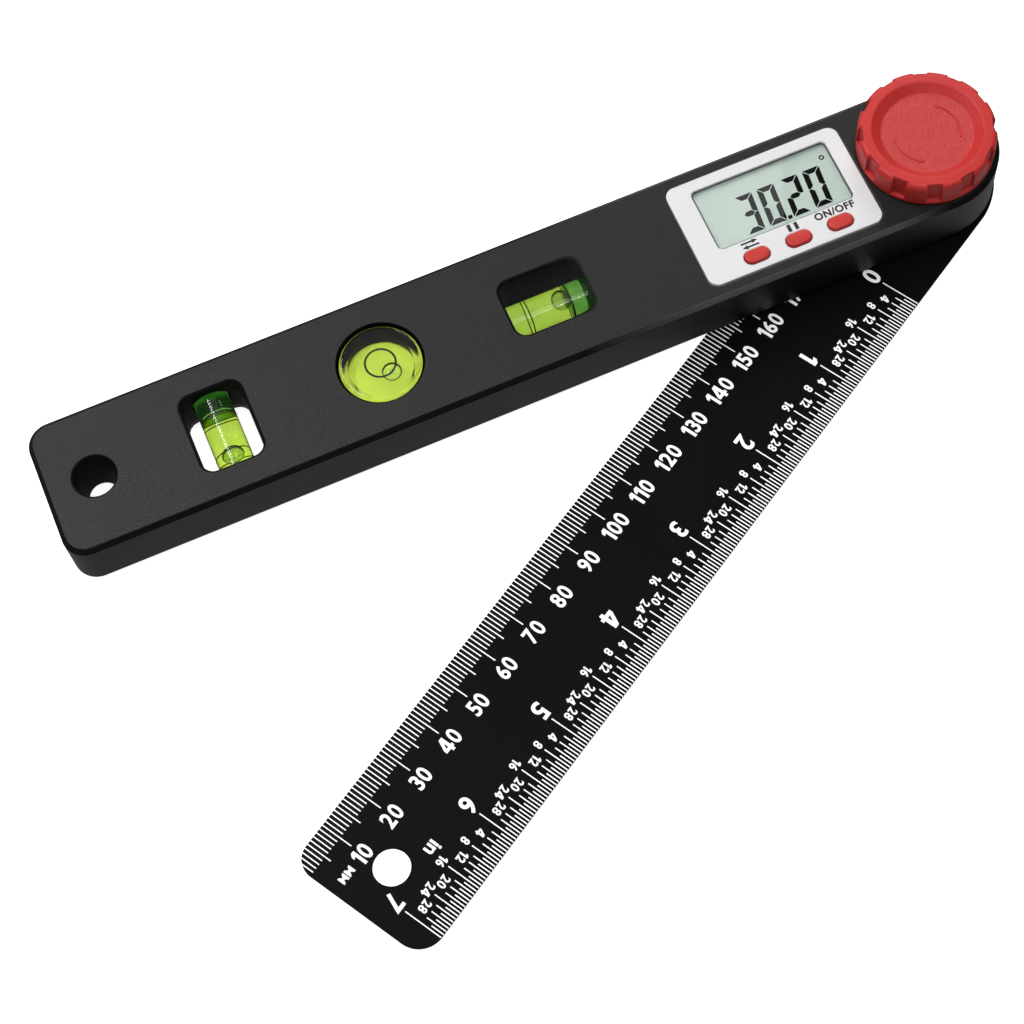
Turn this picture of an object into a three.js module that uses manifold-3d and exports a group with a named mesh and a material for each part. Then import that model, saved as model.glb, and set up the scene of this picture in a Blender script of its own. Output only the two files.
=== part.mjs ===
// Digital angle finder: a hollow beam with spirit vials, a display and a ruler blade that swings under it.
// Millimetres, +Z up. The origin is on the pivot axis, in the plane of the blade's underside.
// The beam runs from the pivot towards -X, and the blade swings about +Z.

import * as THREE from 'three';
import { mergeVertices } from 'three/addons/utils/BufferGeometryUtils.js';
import Module from 'manifold-3d';

const wasm = await Module();
wasm.setup();

const chordError = 0.08; // how far a facet may fall inside its true curve
const overrun = 1; // how far a cutting body runs past the face that it cuts

// Fits shared by all pieces
const seatClearance = 0.2; // round a fixed piece in its seat
const runClearance = 0.3; // between pieces that move or lie on different groups
const holeClearance = 0.25; // round a screw's shank

// Ruler blade
const bladeThickness = 1.2;
const bladeWidth = 34.6;
const bladeReach = 210.6; // pivot axis to the free end
const bladeMmCorner = 4.6; // corner radius at the millimetre edge
const bladeInchCorner = 6; // corner radius at the inch edge
const bladeHoleRadius = 4.05;
const bladeHoleInset = 11.4; // from the free end
const bladeAngle = 30.8; // between the beam and the blade as shown, degrees

// Beam housing
const beamReach = 210; // pivot axis to the free end
const beamWidth = 33.6;
const beamThickness = 13.4;
const beamCorner = 5.5;
const beamChamfer = 1;
const beamWall = 2.4;
const faceWall = 2;
const ribThickness = 1.6;
const standoff = 1.4; // from the blade's top to the beam's underside
const coverThickness = 2;
const coverLip = 1.2; // wall left standing round the rear cover
const hangHoleRadius = 4.7;
const hangHoleInset = 11.4; // from the free end

// Heights that the stack of pieces shares
const beamBottom = bladeThickness + standoff;
const beamTop = beamBottom + beamThickness;
const coverTop = beamBottom + coverThickness;
const bayTop = beamTop - faceWall;
const halfWidth = beamWidth / 2;

// Spirit vials
const windowLength = 19.6; // along the vial
const windowWidth = 14.6;
const windowCorner = 3;
const crossWindowShare = 0.7265; // of the way from the electronics bay to the beam's free end
const longWindowShare = 0.2105;
const vialRadius = 4.1;
const vialBoreRadius = 2.9;
const vialBarrel = 0.25; // how much wider the bore is at mid length
const vialEndRound = 0.8;
const vialSocketDepth = 1;
const vialFloor = 1.4; // solid end of the tube
const plugLength = 5.6;
const plugFlange = 0.7;
const vialHeight = beamBottom + beamThickness / 2;

// Round bubble vial: it fills a hole through the beam, so that light comes in from behind
const roundVialShare = 0.477;
const roundVialRadius = 9.3;
const roundVialGap = 0.5; // dark ring left round it
const roundVialEdge = 0.3;
const roundRecess = 0.4; // top of the vial below the face
const roundLedge = 0.4; // of the rear cover under the vial's rim
const roundBoreRadius = 7.3;
const roundTopThickness = 1.6;
const roundDomeRise = 0.5;
const roundBaseThickness = 4.4;
const roundBaseStep = 0.5;

// Display bezel, its window and the glass behind it
const bezelLength = 42.2;
const bezelWidth = 27;
const bezelInset = 16.2; // pivot axis to the bezel's near edge
const bezelCorner = 2.5;
const bezelSeatDepth = 1.2;
const bezelProud = 0.3;
const bezelEdge = 0.25;
const viewEndMargin = 4.6; // from the bezel's ends to its window
const viewWidth = 16.1;
const viewShift = 0.8; // from the bezel's middle towards the pivot
const viewY = 2.55;
const viewCorner = 1.2;
const lensMargin = 0.7;
const lensThickness = 0.9;
const lcdMargin = 1.4; // of the glass round the bezel's window
const lcdThickness = 2;
const lcdLedge = 0.8; // of the back sheet past the front sheet's long sides
const bayMouthMargin = 0.6; // bezel's ledge round the opening to the bay

// Push buttons
const buttonPitch = 10.15;
const buttonShift = 1.45; // of the middle button from the bezel's middle
const buttonY = -10.05;
const buttonLength = 5.9;
const buttonWidth = 3.3;
const buttonProud = 0.6;
const buttonTravel = 0.6;
const buttonFlangeMargin = 0.7;
const buttonFlangeThickness = 0.6;
const buttonCrown = 0.3;
const stemRadius = 1.2;

// Circuit board and what it carries
const boardThickness = 1;
const boardRise = 5.6; // from the rear cover to the board, room for the coin cell
const boardMargin = 1.2; // between the board and the bay's wall
const boardHoleRadius = 7.2;
const bayMargin = 2.4; // from the bezel to the far end of the bay
const bayCorner = 3;
const chipRadius = 3;
const chipHeight = 0.8;
const connectorWidth = 2;
const connectorInset = 1.6; // from the glass's upper edge to the strip
const connectorShort = 3; // how much shorter than the glass the strip is, each end
const matThickness = 0.7;
const matMargin = 3.85; // past the outer buttons
const matWidth = 5.2;
const domeBaseRadius = 2.2;
const domeTopRadius = 1.6;
const domeHeight = 0.4;
const boardPostRadius = 2.2;
const boardPostReach = 11.4; // from the pivot axis, for the two posts by the pivot
const boardPostAngle = 58;
const boardPostInset = 3.2; // from the bay's far end
const boardScrewShank = 0.8;
const boardScrewHead = 1.5;
const boardScrewHeadHeight = 0.8;
const boardScrewBite = 2;

// Housing screws
const screwShank = 1.1;
const screwHead = 2.1;
const screwHeadHeight = 1.3;
const screwLength = 8;
const screwSunk = 0.2;
const screwBossRadius = 2.6;
const screwInset = 4.4; // from the beam's edge
const screwSlotWidth = 0.6;
const screwSlotDepth = 0.6;
const screwSlotShare = 0.75; // of the head's radius that the cross reaches

// Coin cell, its contacts and the lid
const cellRadius = 10;
const cellThickness = 3.2;
const cellStep = 0.5;
const lidRadius = 12;
const lidRingThickness = 1.3;
const lidRingHeight = 1.5;
const lugThickness = 0.9;
const lugReach = 1.2; // past the lid's edge
const lugCount = 3;
const lugHalfAngle = 12;
const lidTurn = 40; // to the open position
const notchSpareAngle = 2;
const coinSlotLength = 15;
const coinSlotWidth = 1.8;
const coinSlotDepth = 0.9;
const contactThickness = 0.3;
const contactWidth = 4;
const contactLength = 7;
const sideContactHalfAngle = 14;

// Pivot: shaft, bush, washers, encoder disc and its ring
const shaftRadius = 5;
const shaftTangRadius = 4.5;
const shaftTangFlat = 3.6; // axis to each flat of the tang
const shaftFlangeRadius = 6.2;
const threadRadius = 3;
const threadEngage = 3;
const grooveRadius = 4.1;
const grooveWidth = 0.8;
const bushWall = 1.6;
const bushFlangeRadius = 9.2;
const bushFlangeThickness = 0.8;
const bushRise = 0.9; // above its flange
const thrustOuterRadius = 12.5;
const ringThickness = 0.5;
const ringOuterRadius = 6.9;
const ringGap = 3.2;
const rotorRadius = 9.4;
const rotorThickness = 0.8;
const rotorHubRadius = 6.7;
const rotorAirGap = 0.6; // to the circuit board
const rotorHubDepth = 1.4;
const rotorSlotCount = 8;
const rotorSlotLength = 1.5;
const rotorSlotWidth = 1.2;
const faceBossRadius = 8;
const frictionOuterRadius = 9;
const frictionThickness = 0.6;

// Lock knob
const knobRadius = 15.5;
const knobHeight = 7.1; // rim above the beam's face
const knobShoulder = 1.5; // height of the rounded shoulder
const knobRimRadius = 14.3;
const dishRimRadius = 12.45;
const dishFloorRadius = 10.25;
const dishDepth = 1.8;
const knobSkirtFlange = 1.1;
const notchCount = 12;
const notchWidth = 3.1;
const notchDepth = 0.9;
const notchPhase = 10; // degrees
const knobBossRadius = 6.8;
const knobSkirtWall = 2.4;
const knobPocketTop = 1.6; // web left above the hollow
const knobRibCount = 6;
const knobRibThickness = 1.2;
const insertRadius = 5;
const insertKnurls = 12;
const insertKnurlDepth = 0.25;
const insertSkin = 0.7; // knob left above the insert's seat

// Finishes
const finish = {
  blackMould: { color: 0x17181a, roughness: 0.55, metalness: 0 },
  blackPlate: { color: 0x101112, roughness: 0.5, metalness: 0.3 },
  silverMould: { color: 0xe4e4e6, roughness: 0.35, metalness: 0.1 },
  redMould: { color: 0xc2262b, roughness: 0.42, metalness: 0 },
  steel: { color: 0xb8babd, roughness: 0.3, metalness: 1 },
  brass: { color: 0xc39a4a, roughness: 0.35, metalness: 1 },
  clear: { color: 0xeef6ee, roughness: 0.08, metalness: 0 },
  lcdGlass: { color: 0xbfcfc3, roughness: 0.2, metalness: 0 },
  greenPlug: { color: 0x1f7a34, roughness: 0.3, metalness: 0 },
  paleMould: { color: 0xd8ec9a, roughness: 0.5, metalness: 0 },
  board: { color: 0x1f5a3a, roughness: 0.5, metalness: 0 },
  greyRubber: { color: 0x55585c, roughness: 0.9, metalness: 0 },
  nylon: { color: 0xe8e6de, roughness: 0.6, metalness: 0 },
};

const radians = THREE.MathUtils.degToRad;
const quarterTurn = Math.PI / 2;

// Geometry to solid and back. A solid's faces are turned outwards before it is used.

function signedVolume(positions, index) {
  const a = new THREE.Vector3();
  const b = new THREE.Vector3();
  const c = new THREE.Vector3();
  let total = 0;
  for (let i = 0; i < index.length; i += 3) {
    a.fromArray(positions, index[i] * 3);
    b.fromArray(positions, index[i + 1] * 3);
    c.fromArray(positions, index[i + 2] * 3);
    total += a.dot(b.cross(c));
  }
  return total;
}

function solid(geometry) {
  geometry.deleteAttribute('normal');
  geometry.deleteAttribute('uv');
  const merged = mergeVertices(geometry);
  const positions = new Float32Array(merged.attributes.position.array);
  const index = Uint32Array.from(merged.index.array);
  if (signedVolume(positions, index) < 0) {
    for (let i = 0; i < index.length; i += 3) {
      [index[i], index[i + 1]] = [index[i + 1], index[i]];
    }
  }
  return new wasm.Manifold(new wasm.Mesh({ numProp: 3, vertProperties: positions, triVerts: index }));
}

function toGeometry(body) {
  const mesh = body.getMesh();
  const geometry = new THREE.BufferGeometry();
  geometry.setAttribute('position', new THREE.BufferAttribute(new Float32Array(mesh.vertProperties), 3));
  geometry.setIndex(new THREE.BufferAttribute(new Uint32Array(mesh.triVerts), 1));
  geometry.computeVertexNormals();
  return geometry;
}

function join(bodies) {
  return bodies.reduce((whole, body) => whole.add(body));
}

function cut(body, tools) {
  return tools.reduce((rest, tool) => rest.subtract(tool), body);
}

// Facets of a full circle, a multiple of four so that its extremes are true
function facets(radius) {
  return 4 * Math.ceil(quarterTurn / 2 / Math.acos(1 - chordError / radius));
}

// Shapes drawn in the plane of the beam

function arc(x, y, radius, from, to) {
  const steps = Math.ceil((facets(radius) * Math.abs(to - from)) / (4 * quarterTurn));
  return Array.from({ length: steps + 1 }, (_, i) => {
    const angle = from + ((to - from) * i) / steps;
    return new THREE.Vector2(x + radius * Math.cos(angle), y + radius * Math.sin(angle));
  });
}

function roundedRect(length, width, corner) {
  const x = length / 2 - corner;
  const y = width / 2 - corner;
  return new THREE.Shape([
    ...arc(x, -y, corner, -quarterTurn, 0),
    ...arc(x, y, corner, 0, quarterTurn),
    ...arc(-x, y, corner, quarterTurn, 2 * quarterTurn),
    ...arc(-x, -y, corner, 2 * quarterTurn, 3 * quarterTurn),
  ]);
}

function oval(length, width) {
  const radius = width / 2;
  const x = length / 2 - radius;
  return new THREE.Shape([
    ...arc(x, 0, radius, -quarterTurn, quarterTurn),
    ...arc(-x, 0, radius, quarterTurn, 3 * quarterTurn),
  ]);
}

// A bar that is round about the pivot and has two rounded corners at its reach
function barOutline(reach, half, nearCorner, farCorner) {
  return new THREE.Shape([
    ...arc(0, 0, half, -quarterTurn, quarterTurn),
    ...arc(-reach + farCorner, half - farCorner, farCorner, quarterTurn, 2 * quarterTurn),
    ...arc(-reach + nearCorner, -half + nearCorner, nearCorner, 2 * quarterTurn, 3 * quarterTurn),
  ]);
}

function beamOutline(inset) {
  const corner = beamCorner - inset;
  return barOutline(beamReach - inset, halfWidth - inset, corner, corner);
}

// Straight body between two heights
function prism(shape, bottom, top) {
  const geometry = new THREE.ExtrudeGeometry(shape, { depth: top - bottom, bevelEnabled: false });
  geometry.translate(0, 0, bottom);
  return solid(geometry);
}

// Straight body whose upper and lower edges are chamfered, within the given outline
function chamferedPrism(shape, bottom, top, chamfer) {
  const geometry = new THREE.ExtrudeGeometry(shape, {
    depth: top - bottom - 2 * chamfer,
    bevelEnabled: true,
    bevelThickness: chamfer,
    bevelSize: chamfer,
    bevelOffset: -chamfer,
    bevelSegments: 1,
  });
  geometry.translate(0, 0, bottom + chamfer);
  return solid(geometry);
}

function disc(radius, bottom, top) {
  const geometry = new THREE.CylinderGeometry(radius, radius, top - bottom, facets(radius));
  geometry.rotateX(quarterTurn);
  geometry.translate(0, 0, (bottom + top) / 2);
  return solid(geometry);
}

function box(length, width, bottom, top) {
  const geometry = new THREE.BoxGeometry(length, width, top - bottom);
  geometry.translate(0, 0, (bottom + top) / 2);
  return solid(geometry);
}

// Revolved about +Z from [radius, height] pairs that start and end on the axis or close on themselves
function revolved(profile) {
  const points = profile.map(([radius, height]) => new THREE.Vector2(radius, height));
  const widest = Math.max(...profile.map(([radius]) => radius));
  return new THREE.LatheGeometry(points, facets(widest));
}

function turned(profile) {
  return solid(revolved(profile).rotateX(quarterTurn));
}

function ring(inner, outer, bottom, top) {
  return turned([[inner, bottom], [outer, bottom], [outer, top], [inner, top], [inner, bottom]]);
}

function at(body, x, y, z = 0) {
  return body.translate([x, y, z]);
}

function turnedBy(body, angle) {
  return body.rotate([0, 0, THREE.MathUtils.radToDeg(angle)]);
}

// Copies of a body, evenly spaced round the origin
function around(count, phase, body) {
  const step = (4 * quarterTurn) / count;
  return Array.from({ length: count }, (_, i) => turnedBy(body, radians(phase) + i * step));
}

const onPivot = [0, 0];
const part = new THREE.Group();
const bladeGroup = new THREE.Group();
bladeGroup.rotation.z = radians(bladeAngle);
part.add(bladeGroup);

function piece(name, body, look, [x, y] = onPivot, group = part) {
  const mesh = new THREE.Mesh(toGeometry(body), new THREE.MeshStandardMaterial(finish[look]));
  mesh.name = name;
  mesh.position.set(x, y, 0);
  group.add(mesh);
  return mesh;
}

// Places that several pieces share

const boardBottom = coverTop + boardRise;
const bezelX = -bezelInset - bezelLength / 2;
const bayReach = bezelInset + bezelLength + bayMargin;
const viewX = bezelX + viewShift;
const viewLength = bezelLength - 2 * viewEndMargin;
const lcdLength = viewLength + 2 * lcdMargin;
const lcdWidth = viewWidth + 2 * lcdMargin;
const matLength = 2 * (buttonPitch + matMargin);
const buttonMidX = bezelX + buttonShift;
const cellX = bezelX;
const handleLength = beamReach - bayReach;
const crossWindowX = -bayReach - handleLength * crossWindowShare;
const roundVialX = -bayReach - handleLength * roundVialShare;
const longWindowX = -bayReach - handleLength * longWindowShare;
const coverInset = coverLip + seatClearance;
const screwStations = [
  crossWindowX - windowWidth / 2 - beamWall - screwBossRadius / 2,
  (roundVialX + longWindowX) / 2,
  (longWindowX + windowLength / 2 - bayReach) / 2,
];
const screwPlaces = screwStations.flatMap((x) => [-1, 1].map((side) => [x, side * (halfWidth - screwInset)]));
const boardPosts = [
  ...[-1, 1].map((side) => [
    boardPostReach * Math.cos(radians(boardPostAngle)),
    side * boardPostReach * Math.sin(radians(boardPostAngle)),
  ]),
  [-bayReach + boardPostInset, 0],
];
const viewPlace = [viewX, viewY];
const buttonPlaces = [-1, 0, 1].map((step) => [buttonMidX + step * buttonPitch, buttonY]);
const hangHoleX = -beamReach + hangHoleInset;
const bezelBottom = beamTop - bezelSeatDepth;
const bezelTop = beamTop + bezelProud;
const boardTop = boardBottom + boardThickness;
const socketSpan = windowLength + 2 * vialSocketDepth;
const vialLength = socketSpan - 2 * runClearance;
const socketRadius = vialRadius + runClearance;
const shaftBoreRadius = shaftRadius + runClearance;
const roundVialTop = beamTop - roundRecess;
const roundWellRadius = roundVialRadius + roundVialGap;
const roundHole = disc(roundVialRadius - roundLedge, beamBottom - overrun, coverTop + overrun);
const notchAngle = Math.asin(notchWidth / 2 / knobRadius);

// Copies of a body at the two vials: the first lies across the beam, the second along it
function atVials(body) {
  return [at(turnedBy(body, quarterTurn), crossWindowX, 0), at(body, longWindowX, 0)];
}

// Revolved about the vials' axis, which lies along X
function lying(profile) {
  return solid(revolved(profile).rotateZ(-quarterTurn).translate(0, 0, vialHeight));
}

function lyingCylinder(radius, length) {
  return lying([[0, -length / 2], [radius, -length / 2], [radius, length / 2], [0, length / 2]]);
}

// Front shell: a moulded bar, cored from behind between its vial frames, wells and screw bosses

function handlePocket(left, right) {
  const length = right - left;
  const depth = halfWidth - beamWall - ribThickness / 2;
  const corner = ribThickness;
  return [-1, 1].map((side) =>
    at(
      prism(roundedRect(length, depth, corner), beamBottom - overrun, bayTop),
      (left + right) / 2,
      side * (ribThickness / 2 + depth / 2),
    ),
  );
}

function handlePockets() {
  const crossHalf = windowWidth / 2 + beamWall;
  const longHalf = windowLength / 2 + beamWall;
  const roundHalf = roundWellRadius + beamWall;
  const spans = [
    [-beamReach + beamWall, crossWindowX - crossHalf],
    [crossWindowX + crossHalf, roundVialX - roundHalf],
    [roundVialX + roundHalf, longWindowX - longHalf],
    [longWindowX + longHalf, -bayReach - beamWall],
  ];
  const boss = disc(screwBossRadius, beamBottom - 2 * overrun, beamTop);
  const bosses = screwPlaces.map(([x, y]) => at(boss, x, y));
  bosses.push(at(disc(hangHoleRadius + beamWall, beamBottom - 2 * overrun, beamTop), hangHoleX, 0));
  return cut(join(spans.flatMap(([left, right]) => handlePocket(left, right))), bosses);
}

function vialSlots() {
  const below = box(socketSpan, 2 * socketRadius, coverTop - overrun, vialHeight);
  return atVials(lyingCylinder(socketRadius, socketSpan).add(below));
}

function windowTools(bottom, top) {
  return atVials(prism(roundedRect(windowLength, windowWidth, windowCorner), bottom, top));
}

function frontShell() {
  const blank = chamferedPrism(beamOutline(0), beamBottom - overrun, beamTop, beamChamfer);
  const below = at(box(3 * beamReach, 2 * beamWidth, beamBottom - 2 * overrun, beamBottom), -beamReach, 0);
  const bayHalf = halfWidth - beamWall;
  const bay = prism(barOutline(bayReach, bayHalf, bayCorner, bayCorner), beamBottom - overrun, bayTop);
  const post = disc(boardPostRadius, boardTop, bayTop + ribThickness / 2);
  const posts = boardPosts.map(([x, y]) => at(post, x, y));
  const faceBoss = disc(faceBossRadius, boardTop + runClearance, bayTop + ribThickness / 2);
  const bezelFit = 2 * seatClearance;
  const bezelSeat = roundedRect(bezelLength + bezelFit, bezelWidth + bezelFit, bezelCorner + seatClearance);
  const mouthLength = bezelLength - 2 * bayMouthMargin;
  const mouthWidth = bezelWidth - 2 * bayMouthMargin;
  const screwHole = disc(screwShank + holeClearance, beamBottom, beamBottom + screwLength + overrun);
  const postHoleTop = boardTop + boardScrewBite + runClearance;
  const postHole = disc(boardScrewShank + holeClearance, boardTop - overrun, postHoleTop);
  const cored = cut(blank, [
    below,
    prism(beamOutline(coverLip), beamBottom - overrun, coverTop),
    handlePockets(),
    bay,
  ]);
  return cut(join([cored, ...posts, faceBoss]), [
    ...windowTools(beamBottom - overrun, beamTop + overrun),
    ...vialSlots(),
    at(disc(hangHoleRadius, beamBottom - overrun, beamTop + overrun), hangHoleX, 0),
    at(disc(roundWellRadius, beamBottom - overrun, beamTop + overrun), roundVialX, 0),
    at(prism(bezelSeat, bezelBottom, beamTop + overrun), bezelX, 0),
    at(prism(roundedRect(mouthLength, mouthWidth, viewCorner), bayTop - overrun, beamTop), bezelX, 0),
    disc(shaftBoreRadius, boardTop, beamTop + overrun),
    disc(frictionOuterRadius + seatClearance, beamTop - frictionThickness, beamTop + overrun),
    ...screwPlaces.map(([x, y]) => at(screwHole, x, y)),
    ...boardPosts.map(([x, y]) => at(postHole, x, y)),
  ]);
}

// Rear cover: a plate inside the shell's lip, with saddles that close the vial sockets from below

function vialSaddles() {
  const saddleLength = vialSocketDepth - seatClearance;
  const saddleWidth = 2 * (socketRadius - seatClearance);
  const post = box(saddleLength, saddleWidth, coverTop - coverThickness / 2, vialHeight);
  const pair = join([-1, 1].map((side) => at(post, (side * (windowLength + saddleLength)) / 2, 0)));
  return atVials(pair.subtract(lyingCylinder(socketRadius, socketSpan + overrun)));
}

function lidOpening() {
  const reach = lidRadius + lugReach + runClearance;
  const halfAngle = lugHalfAngle + notchSpareAngle;
  const notch = sector(lidRadius - overrun, reach, halfAngle, beamBottom - overrun, coverTop + overrun);
  return join([
    disc(lidRadius + runClearance, beamBottom - overrun, coverTop + overrun),
    ...around(lugCount, lidTurn, notch),
  ]);
}

// Part of a ring, centred on +X
function sector(inner, outer, halfAngle, bottom, top) {
  const half = radians(halfAngle);
  const shape = new THREE.Shape([...arc(0, 0, outer, -half, half), ...arc(0, 0, inner, half, -half)]);
  return prism(shape, bottom, top);
}

function screwSink() {
  const headTop = beamBottom + screwSunk + screwHeadHeight;
  return join([
    disc(screwHead + seatClearance, beamBottom - overrun, headTop),
    disc(screwShank + holeClearance, beamBottom, coverTop + overrun),
  ]);
}

function rearCover() {
  const corner = beamCorner - coverInset;
  const outline = barOutline(beamReach - coverInset, halfWidth - coverInset, corner, corner);
  const windows = windowTools(beamBottom - overrun, coverTop + overrun);
  const plate = cut(prism(outline, beamBottom, coverTop), windows);
  return cut(join([plate, ...vialSaddles()]), [
    at(disc(hangHoleRadius, beamBottom - overrun, coverTop + overrun), hangHoleX, 0),
    at(roundHole, roundVialX, 0),
    at(lidOpening(), cellX, 0),
    disc(shaftBoreRadius + bushWall + seatClearance, beamBottom - overrun, coverTop + overrun),
    ...screwPlaces.map(([x, y]) => at(screwSink(), x, y)),
  ]);
}

// Screw driven upwards from its head at the given height
function screw(shank, head, headHeight, length, bottom) {
  const tip = bottom + length;
  const neck = bottom + headHeight;
  const body = turned([
    [0, bottom],
    [head, bottom],
    [head, bottom + headHeight / 2],
    [shank, neck],
    [shank, tip - shank],
    [0, tip],
  ]);
  const reach = 2 * head * screwSlotShare;
  const depth = Math.min(screwSlotDepth, headHeight / 2);
  return cut(body, [
    box(reach, screwSlotWidth, bottom - overrun, bottom + depth),
    box(screwSlotWidth, reach, bottom - overrun, bottom + depth),
  ]);
}

// Spirit vials: a clear tube with a barrel bore, closed by a coloured plug

function vialTube() {
  const half = vialLength / 2;
  const boreEnd = half - vialFloor;
  const barrelSteps = 4;
  const barrelLength = 2 * boreEnd - plugLength + vialFloor;
  const bore = Array.from({ length: barrelSteps + 1 }, (_, i) => {
    const share = i / barrelSteps;
    const along = -boreEnd + barrelLength * share;
    return [vialBoreRadius + vialBarrel * Math.sin(2 * quarterTurn * share), along];
  });
  return lying(
    [
      [0, -half],
      [vialRadius - vialEndRound, -half],
      [vialRadius, -half + vialEndRound],
      [vialRadius, half],
      [vialBoreRadius, half],
      ...bore.reverse(),
      [0, -boreEnd],
    ],
  );
}

function vialPlug() {
  const end = vialLength / 2;
  const radius = vialBoreRadius - seatClearance;
  return lying([[0, end - plugLength], [radius, end - plugLength], [radius, end - plugFlange / 2], [0, end]]);
}

// Round vial: a deep clear cup with a domed top inside, closed from behind by its base

function roundVialLens() {
  const domeSteps = 3;
  const dome = Array.from({ length: domeSteps + 1 }, (_, i) => {
    const share = i / domeSteps;
    const rise = roundDomeRise * (1 - (1 - share) ** 2);
    return [roundBoreRadius * (1 - share), roundVialTop - roundTopThickness + rise];
  });
  return turned([
    [0, roundVialTop],
    [roundVialRadius - roundVialEdge, roundVialTop],
    [roundVialRadius, roundVialTop - roundVialEdge],
    [roundVialRadius, coverTop],
    [roundBoreRadius, coverTop],
    ...dome,
  ]);
}

function roundVialBase() {
  const radius = roundBoreRadius - seatClearance;
  const top = coverTop + roundBaseThickness;
  const floor = top - roundBaseStep;
  return turned([
    [0, coverTop],
    [radius, coverTop],
    [radius, top],
    [radius - roundBaseStep, top],
    [radius - 2 * roundBaseStep, floor],
    [0, floor],
  ]);
}

// Display: bezel, clear lens in its rebate, glass behind it

function bezel() {
  const outline = roundedRect(bezelLength, bezelWidth, bezelCorner);
  const blank = at(chamferedPrism(outline, bezelBottom, bezelTop, bezelEdge), bezelX, 0);
  const slot = oval(buttonLength + 2 * runClearance, buttonWidth + 2 * runClearance);
  const view = roundedRect(viewLength, viewWidth, viewCorner);
  const seatMargin = lensMargin + seatClearance;
  const seat = roundedRect(viewLength + 2 * seatMargin, viewWidth + 2 * seatMargin, viewCorner);
  return cut(blank, [
    at(prism(view, bezelBottom - overrun, bezelTop + overrun), viewX, viewY),
    at(prism(seat, bezelBottom - overrun, bezelBottom + lensThickness), viewX, viewY),
    ...buttonPlaces.map(([x, y]) => at(prism(slot, bezelBottom - overrun, bezelTop + overrun), x, y)),
  ]);
}

function lens() {
  const shape = roundedRect(viewLength + 2 * lensMargin, viewWidth + 2 * lensMargin, viewCorner);
  return prism(shape, bezelBottom, bezelBottom + lensThickness);
}

function lcdPanel() {
  const top = bezelBottom - runClearance;
  const seam = top - lcdThickness / 2;
  const back = box(lcdLength, lcdWidth, top - lcdThickness, seam);
  const front = box(lcdLength, lcdWidth - 2 * lcdLedge, seam, top);
  return back.add(front);
}

function lcdConnector() {
  const top = bezelBottom - runClearance - lcdThickness;
  const strip = roundedRect(lcdLength - 2 * connectorShort, connectorWidth, connectorWidth / 4);
  return at(prism(strip, boardTop, top), 0, lcdWidth / 2 - connectorInset);
}

// Buttons: a crowned oval cap, a flange under the bezel and a stem down to the mat

function button() {
  const outline = (margin) => oval(buttonLength + 2 * margin, buttonWidth + 2 * margin);
  const top = bezelTop + buttonProud;
  const flangeTop = bezelBottom - runClearance;
  const cap = chamferedPrism(outline(0), flangeTop - buttonFlangeThickness, top, buttonCrown);
  const flange = prism(outline(buttonFlangeMargin), flangeTop - buttonFlangeThickness, flangeTop);
  const stemBottom = boardTop + matThickness + domeHeight + runClearance + buttonTravel;
  return join([cap, flange, disc(stemRadius, stemBottom, flangeTop)]);
}

function keypadMat() {
  const pad = prism(roundedRect(matLength, matWidth, matWidth / 4), boardTop, boardTop + matThickness);
  const base = boardTop + matThickness;
  const dome = [
    [0, base - matThickness / 2],
    [domeBaseRadius, base - matThickness / 2],
    [domeBaseRadius, base],
    [domeTopRadius, base + domeHeight],
    [0, base + domeHeight],
  ];
  const domes = buttonPlaces.map(([x]) => at(turned(dome), x - buttonMidX, 0));
  return join([pad, ...domes]);
}

// Circuit board: one board from the display to the sensing pattern round the pivot

function circuitBoard() {
  const half = halfWidth - beamWall - boardMargin;
  const corner = bayCorner - boardMargin;
  const plate = prism(barOutline(bayReach - boardMargin, half, corner, corner), boardBottom, boardTop);
  const chipBottom = boardTop - boardThickness / 2;
  const chip = turned([
    [0, chipBottom],
    [chipRadius, chipBottom],
    [chipRadius, boardTop],
    [chipRadius / 2, boardTop + chipHeight],
    [0, boardTop + chipHeight],
  ]);
  const hole = disc(boardScrewShank + holeClearance, boardBottom - overrun, boardTop + overrun);
  return cut(join([plate, at(chip, viewX, viewY)]), [
    disc(boardHoleRadius, boardBottom - overrun, boardTop + overrun),
    ...boardPosts.map(([x, y]) => at(hole, x, y)),
  ]);
}

// Coin cell and its two contacts

const cellBottom = coverTop + runClearance;
const cellTop = cellBottom + cellThickness;

function coinCell() {
  const step = cellRadius - cellStep;
  return turned(
    [
      [0, cellBottom],
      [step, cellBottom],
      [cellRadius, cellBottom + cellStep],
      [cellRadius, cellTop - cellStep],
      [step, cellTop - cellStep],
      [step - cellStep, cellTop],
      [0, cellTop],
    ],
  );
}

// Sprung leaf: flat on the board, then down to the middle of the cell
function leafContact() {
  const low = cellTop + runClearance;
  const high = boardBottom;
  const half = contactLength / 2;
  const shape = new THREE.Shape();
  shape.moveTo(-half, high);
  shape.lineTo(-half, high - contactThickness);
  shape.lineTo(0, high - contactThickness);
  shape.lineTo(half - contactThickness, low);
  shape.lineTo(half + contactThickness, low);
  shape.lineTo(half + contactThickness, low + contactThickness);
  shape.lineTo(half, low + contactThickness);
  shape.lineTo(contactThickness, high);
  const geometry = new THREE.ExtrudeGeometry(shape, { depth: contactWidth, bevelEnabled: false });
  geometry.rotateX(quarterTurn);
  geometry.translate(0, contactWidth / 2, 0);
  return solid(geometry);
}

// Strip that hangs from the board beside the cell's rim, clear above the lid's ring
function sideContact() {
  const inner = cellRadius + runClearance;
  const bottom = coverTop + lidRingHeight + runClearance;
  const strip = sector(inner, inner + contactThickness, sideContactHalfAngle, bottom, boardBottom);
  return turnedBy(strip, 2 * quarterTurn);
}

// Battery lid: flush disc, ring round the cell and bayonet lugs over the cover

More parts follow.
